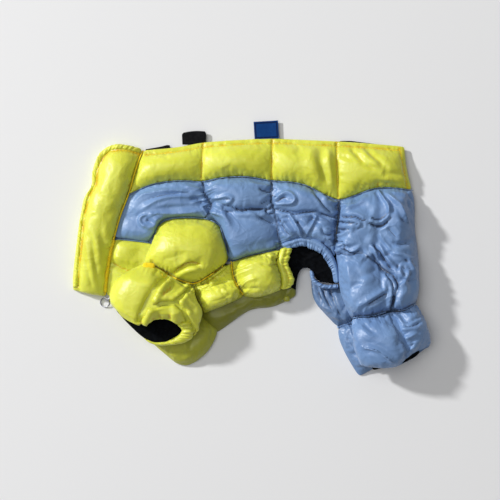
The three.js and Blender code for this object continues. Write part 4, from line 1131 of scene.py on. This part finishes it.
leg_far_cuff = puffed(
    "leg_far_cuff", "grey", grow=0.08, pressure=3, cap=4, seed=77, held_at=(2.6, 7),
    puckers=[(FAR_LEG_SEAM, dict(TIGHT, seed=78, reach=9))],
    folds=[fold(1.2, 2.2, 94, -84, 100, -96, 110, -112), fold(-1.0, 2.6, 98, -82, 106, -98, 116, -116)],
)

# The far belly's edge reaches in under the far sleeve.
FAR_EDGE = Path(-50, -62, -41, -71.5, -30, -81)
FAR_EDGE_WIDTH = 8
FAR_EDGE_SHIFT = np.array([-4.2, -3.6])
from_edge = FAR_EDGE.measure(belly_far.co)[0]
belly_far.co[:, :2] += np.exp(-((from_edge / FAR_EDGE_WIDTH) ** 2))[:, None] * FAR_EDGE_SHIFT * MM
belly_far.normals()
# painted shade: the far pieces lie under the near ones, so their colour is darkened
paint_shade_under(belly_far.object, 0.85)
paint_shade_under(sleeve_far.object, 0.5)
paint_shade_under(leg_far_upper.object, 0.4)
paint_shade_under(leg_far_cuff.object, 0.2)


def plain(node, colour, seed):
    """A padded piece that is pressed flat under others: it only gets its wrinkles."""
    skin = Skin(node, 2)
    skin.push(fine_wrinkles(skin, 0.3, seed))
    paint(skin, CLOTHS[colour], hollows(skin))
    settle(skin.object, node)


for number, (node, colour) in enumerate(
    [("back_far", "yellow"), ("side_far", "grey"), ("haunch_far", "grey"), ("chest_far", "yellow"),
     ("thigh_near_under", "grey")]
):
    plain(node, colour, 80 + number)

# ---- linings


def lining(skin, node, flat, area, rests_on, height, seed, drop=None):
    """Thin black pile cloth, crumpled where it is loose. drop is how far it sinks, over x, y."""
    crumple = field(skin.co, 7 * MM, seed) + 0.6 * field(skin.co, 3 * MM, seed + 1, 0.7, 2)
    ridges = 1 - 2 * np.abs(field(skin.co, 9 * MM, seed + 2, 0.4, 2))
    skin.co[:, 2] += height * MM * (0.5 * crumple + np.maximum(ridges, 0) ** 2)
    if drop is not None:
        skin.co[:, 2] -= drop(skin.co[:, 0] / MM, skin.co[:, 1] / MM) * MM
    keep_over(skin, 0.3)
    paint(skin, LINING)
    settle(skin.object, node)


def wall_area(mesh):
    """The area of one side of a thin closed wall, in square metres."""
    return sum(p.area for p in mesh.polygons) / 2


LININGS = {
    "sleeve_near_lining": dict(rests_on=["sleeve_near_lower_skin"], height=1.0, seed=91),
    "leg_near_lining": dict(rests_on=["leg_near_cuff_skin"], height=0.7, seed=92),
    "leg_far_lining": dict(rests_on=["leg_far_cuff_skin"], height=0.6, seed=93),
    "lining_opening": dict(rests_on=["side_far_skin"], height=0.9, seed=94,
                           drop=lambda x, y: 5.2 * rise(-y, 39, 43) * (1 - rise(x, 46, 52))),
}
LINING_SHAPE = 1.3  # how much longer one side of a lining is than the other, laid flat
for node, options in LININGS.items():
    if node == "sleeve_near_lining":
        mesh = lying_tube("sleeve_near_lining_skin", FOREARM_UPPER, FOREARM_LOWER, forearm_middle,
                          lining_up, lining_down, LINING_WALL, around=60, rows=26)
        piece = Skin(node, 1, mesh)
    else:
        piece = Skin(node, 3)
    area = wall_area(piece.object.data)
    long = math.sqrt(area * LINING_SHAPE)
    lining(piece, node, (long, area / long), area * 0.999, **options)

# ---- gathered bands, seams and stitches, in millimetres

BAND_AROUND = 22  # points round a hem
BAND_STEP = 0.7  # between its rows of points
CORD_AROUND = 8
CORD_STEP = 0.9
CORD_TWIST = 2.6  # between its thickest places


def along_path(values, count):
    """Values given evenly along a path, at count places."""
    return np.interp(np.linspace(0, 1, count), np.linspace(0, 1, len(values)), values)


def band(name, nodes, colour, inner, outer, low, high, pitch, seed, pleat=0.5, groove=None,
         slant=0.0, fade=3):
    """A gathered hem between two lines, with pleats across it. low and high are its heights along
    the lines, groove is where its elastic is stitched, from 0 at inner to 1 at outer, slant is how
    far a pleat runs on while it crosses the hem, and fade is how many rows its ends take."""
    count = int(max(inner.length, outer.length) / BAND_STEP)
    a, b = curve(inner.points, count), curve(outer.points, count)
    low, high = along_path(low, count), along_path(high, count)
    run = np.r_[0, np.cumsum(np.linalg.norm(np.diff((a + b) / 2, axis=0), axis=1))]
    turns = 2 * math.pi * np.arange(BAND_AROUND) / BAND_AROUND
    slid = run[:, None] + slant * (np.cos(turns)[None] + 1) / 2
    large = 1 - 2 * np.abs(ripple(slid, pitch * 0.5, seed))
    small = 1 - 2 * np.abs(ripple(slid, pitch * 0.27, seed + 1))
    waves = (0.7 * large + 0.4 * small) * (0.85 + 0.5 * ripple(slid, pitch * 2.6, seed + 2))
    rings = []
    for k in range(count):
        closing = min(1, (k + 0.6) / fade, (count - k - 0.4) / fade) ** 0.5
        half, tall = (b[k] - a[k]) / 2, (high[k] - low[k]) / 2
        ring = []
        for turn, wave in zip(turns, waves[k]):
            c, t = math.cos(turn), math.sin(turn)
            place = (c + 1) / 2
            pleated = 0.4 + 0.6 * place
            if groove is not None:
                pleated = 0.08 + 1.12 * float(rise(place, groove - 0.08, groove + 0.16))
            full = closing * (1 + pleat * wave * pleated)
            lift = tall * full * np.sign(t) * abs(t) ** 0.8
            if groove is not None and t > 0:
                lift *= 1.15 - 0.35 * float(rise(place, groove - 0.08, groove + 0.08))
                lift *= 1 - 0.3 * math.exp(-(((place - groove) / 0.09) ** 2))
            x, y = (a[k] + b[k]) / 2 + half * c * (1 + 0.35 * pleat * wave * (c > 0)) * closing
            ring.append((x, y, (low[k] + high[k]) / 2 + lift))
        rings.append(ring)
    piece = Skin(name, 1, closed_mesh(name, rings, BAND_AROUND), name)
    paint(piece, CLOTHS[colour], hollows(piece, scales=HEM_HOLLOWS))
    settle(piece.object, nodes)


def tops(skins, points):
    """The highest surface of these skins over each point of the plan, in millimetres."""
    trees = [skin.tree() for skin in skins]
    high = np.full(len(points), np.nan)
    for k, (x, y) in enumerate(points):
        for tree in trees:
            hit = tree.ray_cast(Vector((x * MM, y * MM, 1)), Vector((0, 0, -1)))[0]
            if hit is not None:
                high[k] = np.fmax(hit.z / MM, high[k])
    return high


def filled_in(values, known):
    """Values along a line, with those that aren't known taken from their neighbours."""
    places = np.arange(len(values))
    return np.interp(places, places[known], values[known])


def heading(points):
    """The direction of a line at each of its points."""
    run = np.gradient(points, axis=0)
    return run / np.linalg.norm(run, axis=1, keepdims=True)


def seam_heights(skins, points, apart):
    """Where a seam lies between the skins on its two sides, in millimetres."""
    run = heading(points)
    out = np.stack([-run[:, 1], run[:, 0]], 1) * apart
    sides = np.stack([tops(skins, points + out), tops(skins, points - out)])
    height = np.where(np.isnan(sides), np.inf, sides).min(0)
    height = filled_in(height, np.isfinite(height))
    padded = np.r_[height[0], height, height[-1]]
    return np.minimum(height, (padded[:-2] + padded[1:-1] + padded[2:]) / 3)


def cord(name, path, skins, material, slot, radius, sink, apart=1.6, spacing=CORD_STEP):
    """A seam's thread and its folded edge, sunk between the skins that it joins."""
    count = max(4, int(path.length / spacing))
    points = curve(path.points, count)
    height = seam_heights(skins, points, apart)
    run = heading(points)
    rings = []
    for k in range(count):
        thick = radius * (0.85 + 0.25 * abs(math.sin(math.pi * k * spacing / CORD_TWIST)))
        ring = []
        for i in range(CORD_AROUND):
            turn = 2 * math.pi * i / CORD_AROUND
            out = thick * math.cos(turn)
            x, y = points[k] + out * np.array([-run[k, 1], run[k, 0]])
            ring.append((x, y, max(0.3, height[k] - sink - radius + thick * (1 + math.sin(turn)))))
        rings.append(ring)
    piece = placed(name, closed_mesh(name, rings, CORD_AROUND))
    dressed(piece.data, material)
    settle(piece, ())


STITCH_PITCH = 3.0
STITCH_LONG = 2.1
STITCH_RADIUS = 0.32
STITCH_AROUND = 6
# where each ring of a stitch lies along it, as a share, its size, and how far it is raised
STITCH_RINGS = ((-0.5, 0.35, -0.25), (-0.3, 1, 0.05), (0.3, 1, 0.05), (0.5, 0.35, -0.25))


def stitches(name, path, skins, material, seed):
    """A row of separate stitches on the skins."""
    count = int(path.length / STITCH_PITCH)
    random = np.random.default_rng(seed)
    fine = curve(path.points, count * 6 + 1)
    high = tops(skins, fine)
    points, faces = [], []
    for k in range(count):
        at = k * 6 + 1
        start, end = fine[at], fine[at + 3]
        levels = high[at], high[at + 3]
        if np.isnan(levels).any():
            continue
        run = (end - start) / np.linalg.norm(end - start)
        ahead = run * STITCH_LONG * (1 + 0.1 * random.uniform(-1, 1))
        sideways = np.array([-run[1], run[0]])
        centre = (start + end) / 2 + 0.1 * random.uniform(-1, 1) * sideways
        first = len(points)
        for share, size, up in STITCH_RINGS:
            level = levels[0] + (levels[1] - levels[0]) * (share + 0.5) + up
            for i in range(STITCH_AROUND):
                turn = 2 * math.pi * i / STITCH_AROUND
                x, y = centre + ahead * share + sideways * STITCH_RADIUS * size * math.cos(turn)
                points.append((x, y, level + STITCH_RADIUS * size * math.sin(turn)))
        for ring in range(len(STITCH_RINGS) - 1):
            row = first + ring * STITCH_AROUND
            for i in range(STITCH_AROUND):
                a, b = row + i, row + (i + 1) % STITCH_AROUND
                faces.append((a, b, b + STITCH_AROUND, a + STITCH_AROUND))
        faces.append(tuple(range(first, first + STITCH_AROUND))[::-1])
        faces.append(tuple(range(len(points) - STITCH_AROUND, len(points))))
    piece = placed(name, built_mesh(name, points, faces))
    dressed(piece.data, material)
    settle(piece, ())


band(
    "sleeve_near_rim", (), "yellow",
    Path(-79, -71, -71.6, -76.9, -68.8, -80.5, -72.3, -85.2, -78, -88.6, -84.2, -91.8, -90.6, -92.4,
         -96.9, -92.2, -102.5, -89.6, -108.1, -84.8, -115.1, -77.2, -121, -72.2),
    Path(-66, -63.5, -60, -71, -57, -80, -58, -88, -66, -93, -75.8, -95.2, -84, -95.9,
         -92.7, -95.8, -101.1, -93.4, -106.8, -88.6, -117.5, -78.4, -123, -73.4),
    low=[20, 19, 17, 15, 14.5, 14.2, 14.2, 14.2, 14.4, 15, 16, 18],
    high=[33, 33, 31.5, 29, 27, 25, 23, 22, 21, 20.5, 21, 23],
    pitch=4.6, seed=101, pleat=0.22, fade=16,
)


def on_top(skin, path, above, least):
    """Heights just over the skin along a path, in millimetres."""
    high = tops([skin], curve(path.points, 24))
    return np.maximum(filled_in(high, ~np.isnan(high)) + above, least)


collar_middle = Path(*(CASING_LINE.points * 0.6 + CASING_EDGE.points * 0.4).ravel())
band(
    "collar_elastic_hem", (), "yellow", CASING_LINE, CASING_EDGE,
    low=[2.2, 2.2], high=on_top(collar, collar_middle, 1.4, 7), pitch=3.2, seed=105, pleat=0.42, slant=3.5,
)
band(
    "belly_elastic_hem", "casing_belly", "yellow",
    Path(29.5, 1.5, 27.5, -6, 25.5, -12, 26.5, -18, 28.5, -24, 29.5, -30, 29.8, -36, 29.4, -41),
    Path(41.5, 1.8, 39.1, -6, 37.7, -11.1, 37.4, -15.7, 40.3, -22.6, 42.6, -28, 42.6, -34.1, 37.8, -40),
    low=[8, 8], high=[17, 17.5, 18, 18, 17.5, 15], pitch=3.4, seed=102, groove=0.54, slant=1.5,
)
band(
    "flank_elastic_hem", "casing_flank", "grey",
    Path(29, 4.5, 36, 8, 44, 11, 52, 13, 60, 12.3, 69, 8, 77, 0.5, 83, -8, 87, -20, 88.5, -34),
    Path(36.5, -1, 41.7, 0.8, 47, 2.4, 51.2, 3.4, 56.9, 1.2, 63.2, -1.2, 70.1, -5.2, 75, -12.5, 80.4, -21.5,
         83, -34.1),
    low=[8, 8], high=[15, 16, 17, 17, 16.5, 16, 14], pitch=3.3, seed=103, groove=0.6, slant=2.0,
)
band(
    "far_leg_elastic_hem", (), "grey",
    Path(58.6, -21, 60.2, -31, 67.6, -38, 76, -40, 88, -39.6),
    Path(62.4, -22, 64.4, -29.8, 69.6, -33.8, 76.5, -35.8, 88, -35.2),
    low=[5, 5], high=[11.5, 12.5, 13.5, 14, 14], pitch=3.2, seed=104,
)

UPPER = [collar, back, side, haunch, chest, sleeve_upper]
BELLY = [side, belly_front, belly_rear, sleeve_upper, forearm]
LEGS = [haunch, leg_cuff, leg_far_upper, leg_far_cuff]
SLEEVE_FOLD = Path(-60, -37.2, -52, -34.9, -42, -30, -33, -23.8, -25, -17.4)
THREAD_LOOP = Path(-87.4, -20.5, -88.2, -24.6, -86.2, -28.2, -83.6, -26, -83.6, -22, -86, -20.4)
for name, path, skins, material, sizes in (
    ("collar_seam", COLLAR_SEAM, UPPER, THREAD_YELLOW, dict(radius=0.7, sink=-0.1)),
    # a seam thread made wide and bright orange: partly the real seam, partly painted glow of light caught in
    # the collar's gutter
    ("collar_seam_low", COLLAR_SEAM_LOW, UPPER, THREAD_YELLOW, dict(radius=1.7, sink=-1.2)),
    ("yoke_seam", YOKE_SEAM, UPPER, GREY, dict(radius=0.3, sink=0.0)),
    ("side_seam_front", SEAM_A, UPPER, THREAD_GREY, dict(radius=0.32, sink=0.1)),
    ("side_seam_middle", SEAM_B, UPPER, THREAD_GREY, dict(radius=0.32, sink=0.1)),
    ("side_seam_rear", SEAM_C, UPPER, THREAD_GREY, dict(radius=0.32, sink=0.1)),
    ("chest_seam", Path(-136, 10, -118, 8.4, -102.5, 6.4), UPPER, GREY, dict(radius=0.35, sink=0.0)),
    ("armhole_seam", ARMHOLE, UPPER, GREY, dict(radius=0.35, sink=0.0)),
    ("sleeve_seam", SLEEVE_GATHER, [sleeve_upper, forearm, belly_front], THREAD_YELLOW,
     dict(radius=0.7, sink=0.9)),
    ("sleeve_seam_fold", SLEEVE_FOLD, [sleeve_upper, belly_front], YELLOW, dict(radius=1.5, sink=0.4)),
    ("belly_side_seam", BELLY_SIDE, BELLY, THREAD_GREY, dict(radius=0.4, sink=0.3)),
    ("belly_seam", BELLY_SEAM, BELLY, THREAD_YELLOW, dict(radius=0.6, sink=0.4)),
    ("leg_seam", LEG_GATHER, LEGS, GREY, dict(radius=0.7, sink=1.2)),
    ("far_leg_seam", FAR_LEG_SEAM, LEGS, GREY, dict(radius=1.4, sink=1.2)),
    ("thread_loop", THREAD_LOOP, BELLY, THREAD_YELLOW, dict(radius=0.45, sink=-0.1, apart=0.3, spacing=0.6)),
):
    slot = SLOTS["yellow" if material in (YELLOW, THREAD_YELLOW) else "grey"]
    cord(name, path, skins, material, slot, **sizes)

BACK_STITCH = Path(-105, 93.8, -74, 97.2, -48, 101.8, -13, 104.4, 21.5, 105.7, 53, 104.5, 86, 103.1,
                   119, 101, 148, 98.6, count=60)
STITCH_ROWS = [("back_edge_stitches", BACK_STITCH, back), ("tail_edge_stitches", TAIL_EDGE, back),
               ("collar_hem_stitches", CASING_LINE, collar)]
STITCH_ROWS += [(f"quilting_stitches_{i + 1}", path, back) for i, path in enumerate(QUILT)]
for name, path, skin in STITCH_ROWS:
    stitches(name, path, [skin], THREAD_YELLOW, seed=len(name))

# ---- label, webbing, placket


def flat_piece(name, surface, thickness, wide, long):
    """A thin closed wall over surface(u, v), in millimetres, wide by long steps."""
    points = []
    for drop in (0, thickness):
        for j in range(long + 1):
            for i in range(wide + 1):
                x, y, z = surface(i / wide, j / long)
                points.append((x, y, z - drop))
    row, layer = wide + 1, (wide + 1) * (long + 1)
    faces = []
    for j in range(long):
        for i in range(wide):
            a = j * row + i
            faces.append((a, a + 1, a + row + 1, a + row))
            faces.append((a + layer, a + layer + row, a + layer + row + 1, a + layer + 1))
    rim = list(range(row))
    rim += [j * row + wide for j in range(1, long + 1)]
    rim += [long * row + i for i in range(wide - 1, -1, -1)]
    rim += [j * row for j in range(long - 1, 0, -1)]
    for a, b in zip(rim, rim[1:] + rim[:1]):
        faces.append((a, a + layer, b + layer, b))
    return built_mesh(name, points, faces)


def woven_label():
    """Dark blue woven cloth, darker where it is trimmed."""
    n = Nodes("woven_label_cloth")
    trim = n.add("ShaderNodeAttribute", attribute_name="trim").outputs["Fac"]
    speckled = n.mix(n.spread(n.noise(500, 3), 0, 1, 0.3, 0.7), (0.001, 0.034, 0.165), (0.003, 0.048, 0.20))
    n.link(n.mix(trim, speckled, (0.001, 0.010, 0.06)), "Base Color")
    n.link(n.spread(n.noise(700, 3), 0.55, 0.75), "Roughness")
    grain = n.bump(n.noise(1500, 3), 0.1 * MM, 0.3)
    n.link(n.bump(n.weave(0.5 * MM), 0.06 * MM, 0.5, grain), "Normal")
    n.set(Sheen_Weight=0.03, Specular_IOR_Level=0.12)
    return n.material


LABEL_WIDE = 24.6
LABEL_LONG = 18
LABEL_AT = (15.4, 119.7)
LABEL_TURN = 0.06
LABEL_BORDER = (1.2, 2.4)  # from and to this far from its edge


def label_surface(u, v):
    """The label stands out past the back edge, its foot under it."""
    x, y = LABEL_WIDE * (u - 0.5), LABEL_LONG * (0.5 - v)
    c, t = math.cos(LABEL_TURN), math.sin(LABEL_TURN)
    z = 3.3 + 0.5 * math.sin(3.1 * u + 0.6) * v + 0.35 * math.cos(5 * u)
    return LABEL_AT[0] + x * c - y * t, LABEL_AT[1] + x * t + y * c, z


TAB_SIDES = (-69.6, -45)
TAB_TOP = 117.6
TAB_LONG = 12.6
TAB_CORNER = 0.22  # the share of its length over which its corners are rounded


def tab_surface(u, v):
    """Black webbing, folded over at its end."""
    corner = max(0.0, (TAB_CORNER - v) / TAB_CORNER) ** 2
    left = TAB_SIDES[0] + 0.6 * v + 2.2 * corner
    right = TAB_SIDES[1] - 0.5 * v - 1.6 * corner
    x = left + (right - left) * u
    y = TAB_TOP - TAB_LONG * v + 0.9 * math.sin(math.pi * u) * (1 - v) + 1.2 * (u - 0.4) * (1 - v)
    return x, y, 4.0 + 0.4 * math.sin(2.6 * u + 0.5) + 0.25 * math.sin(9 * u) * (1 - v)


PLACKET_ROWS = 90
PLACKET_TOP = curve([(-106, 100.4), (-92, 102.8), (-82.5, 104.8), (-79, 101.8), (-48, 103.6),
                     (-13, 108.6), (22, 109.8), (55, 108), (84, 106), (88.6, 108.4), (99, 108.8),
                     (108, 107.8), (118, 106.6), (134, 104.4)], PLACKET_ROWS)
PLACKET_FOOT = curve([(-106, 91), (-82, 94), (-48, 96), (-13, 99), (22, 100), (84, 98), (134, 93.5)],
                     PLACKET_ROWS)


def placket_surface(u, v):
    """The far edge's facing, seen past the near edge at both ends of the opening."""
    at = int(round(u * (PLACKET_ROWS - 1)))
    x, y = PLACKET_TOP[at] * (1 - v) + PLACKET_FOOT[at] * v
    low_z, high_z = (corner.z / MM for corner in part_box("placket_far"))
    return x, y, low_z + 0.6 + (high_z - low_z - 0.7) * min(1, v * 1.2) + 0.15 * math.sin(at * 0.9)


def sheet_piece(name, node, material, surface, thickness, wide, long, trim=None):
    """A thin flat piece that lies on the far side of the back. trim(u, v) is 1 where it is dark."""
    mesh = flat_piece(name, surface, thickness, wide, long)
    piece = Skin(name, 0, mesh, name)
    paint(piece, material)
    if trim is not None:
        mark(mesh, "trim", [trim((k % (wide + 1)) / wide, (k // (wide + 1)) % (long + 1) / long)
                            for k in range(len(piece.co))])
    settle(piece.object, node)


def label_border(u, v):
    """A plain border woven round the label."""
    near = min(u * LABEL_WIDE, (1 - u) * LABEL_WIDE, v * LABEL_LONG, (1 - v) * LABEL_LONG)
    return 1.0 if LABEL_BORDER[0] < near < LABEL_BORDER[1] else 0.0


sheet_piece("woven_label_piece", "label", woven_label(), label_surface, 0.7, 60, 44,
            label_border)
sheet_piece("webbing_tab_piece", "webbing_tab", WEBBING, tab_surface, 0.9, 48, 24)
sheet_piece("placket_far_piece", "placket_far", WEBBING, placket_surface, 0.6, 160, 6)

# ---- tack, snap and ring


LUMP_ROWS = 14
LUMP_AROUND = 28


def lump(name, centre, half, turn, material, ribs=0):
    """A small rounded pad on the cloth, half its size given, with ribs across it."""
    rings = []
    for j in range(1, LUMP_ROWS):
        tilt = math.pi * j / LUMP_ROWS - math.pi / 2
        flat = math.cos(tilt) ** 0.5
        ring = []
        for i in range(LUMP_AROUND):
            angle = 2 * math.pi * i / LUMP_AROUND
            c, t = math.cos(angle), math.sin(angle)
            square = max(abs(c), abs(t)) ** 0.6
            x, y = half[0] * c / square, half[1] * t / square
            rib = 1 + 0.12 * math.sin(x * ribs)
            ring.append((centre[0] + (x * math.cos(turn) - y * math.sin(turn)) * flat,
                         centre[1] + (x * math.sin(turn) + y * math.cos(turn)) * flat,
                         centre[2] + half[2] * math.sin(tilt) * rib))
        rings.append(ring)
    piece = placed(name, closed_mesh(name, rings, LUMP_AROUND))
    dressed(piece.data, material)
    settle(piece, ())
    return piece


# where the tack and the snap are sewn on
TACK = (-101.2, -16.6)
SNAP = (36, -50)
tack_top = float(tops([sleeve_upper, forearm, chest], np.array([TACK]))[0])
lump("sleeve_tack", (*TACK, tack_top + 0.9), (6.0, 3.1, 1.7), -0.04, THREAD_YELLOW, ribs=5.5)
snap_top = float(tops([belly_far], np.array([SNAP]))[0])
snap = lump("belly_snap", (*SNAP, snap_top + 0.5), (3.1, 2.9, 1.9), 0.1, YELLOW)
# painted shade: the snap lies under the near belly, so its colour is darkened
paint_shade_under(snap, 0.6)


def bevelled(node, width, levels, body):
    """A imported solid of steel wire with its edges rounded."""
    skin = Skin(node, 0)
    modifier = skin.object.modifiers.new("edges", "BEVEL")
    modifier.width = width * MM
    modifier.segments = 3
    modifier.angle_limit = math.radians(40)
    skin.take(modifier)
    if levels:
        skin.refine(levels)
    paint(skin, STEEL)
    settle(skin.object, node, body=body)


bevelled("ring", 0.01, 2, "ring_body")
bevelled("ring_eye", 0.18, 0, "garment")

# ---- stage

FLOOR = 3  # half the floor's width, in metres
CAMERA_HEIGHT = 1.4
CAMERA_SHIFT = -0.001  # to the left, and towards the foot of the view
FOCUS_HEIGHT = 0.012
VIEW_WIDTH = 0.5  # at the height of focus
SENSOR = 36  # its width, in millimetres
LAMPS = (  # name, place, width in metres, and power in watts
    ("key", (-4.2, 2.4, 2.7), 0.45, 284),
    ("window", (-1.1, 0.4, 3.3), 3.2, 46),
)
SKY = 0.2  # how strong the even light from all round is

floor_mesh = bpy.data.meshes.new("floor")
corners = [(-FLOOR, -FLOOR, 0), (FLOOR, -FLOOR, 0), (FLOOR, FLOOR, 0), (-FLOOR, FLOOR, 0)]
floor_mesh.from_pydata(corners, [], [(0, 1, 2, 3)])
floor = placed("floor", floor_mesh)
floor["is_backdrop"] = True
paper = Nodes("pale_floor")
cloudy = paper.spread(paper.noise(3, 2), 0, 1)
paper.link(paper.mix(cloudy, (0.80, 0.80, 0.805), (0.815, 0.815, 0.82)), "Base Color")
paper.set(Roughness=0.9, Specular_IOR_Level=0.1)
floor_mesh.materials.append(paper.material)

camera_data = bpy.data.cameras.new("camera")
camera_data.sensor_width = SENSOR
camera_data.lens = SENSOR * (CAMERA_HEIGHT - FOCUS_HEIGHT) / VIEW_WIDTH
camera = placed("camera", camera_data)
camera.location = (CAMERA_SHIFT, CAMERA_SHIFT, CAMERA_HEIGHT)
SCENE.camera = camera

for name, place, size, power in LAMPS:
    data = bpy.data.lights.new(name, "AREA")
    data.shape = "DISK"
    data.size = size
    data.energy = power
    light = placed(name, data)
    light.location = place
    light.rotation_euler = (-Vector(place)).to_track_quat("-Z", "Y").to_euler()

world = bpy.data.worlds.new("studio")
SCENE.world = world
world.use_nodes = True
sky = world.node_tree.nodes["Background"]
sky.inputs["Color"].default_value = (1, 1, 1, 1)
sky.inputs["Strength"].default_value = SKY
SCENE.view_settings.view_transform = "Standard"

low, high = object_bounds()
sizes = {"cad": [list(CAD_LOW), list(CAD_HIGH)], "visual": [list(low), list(high)]}
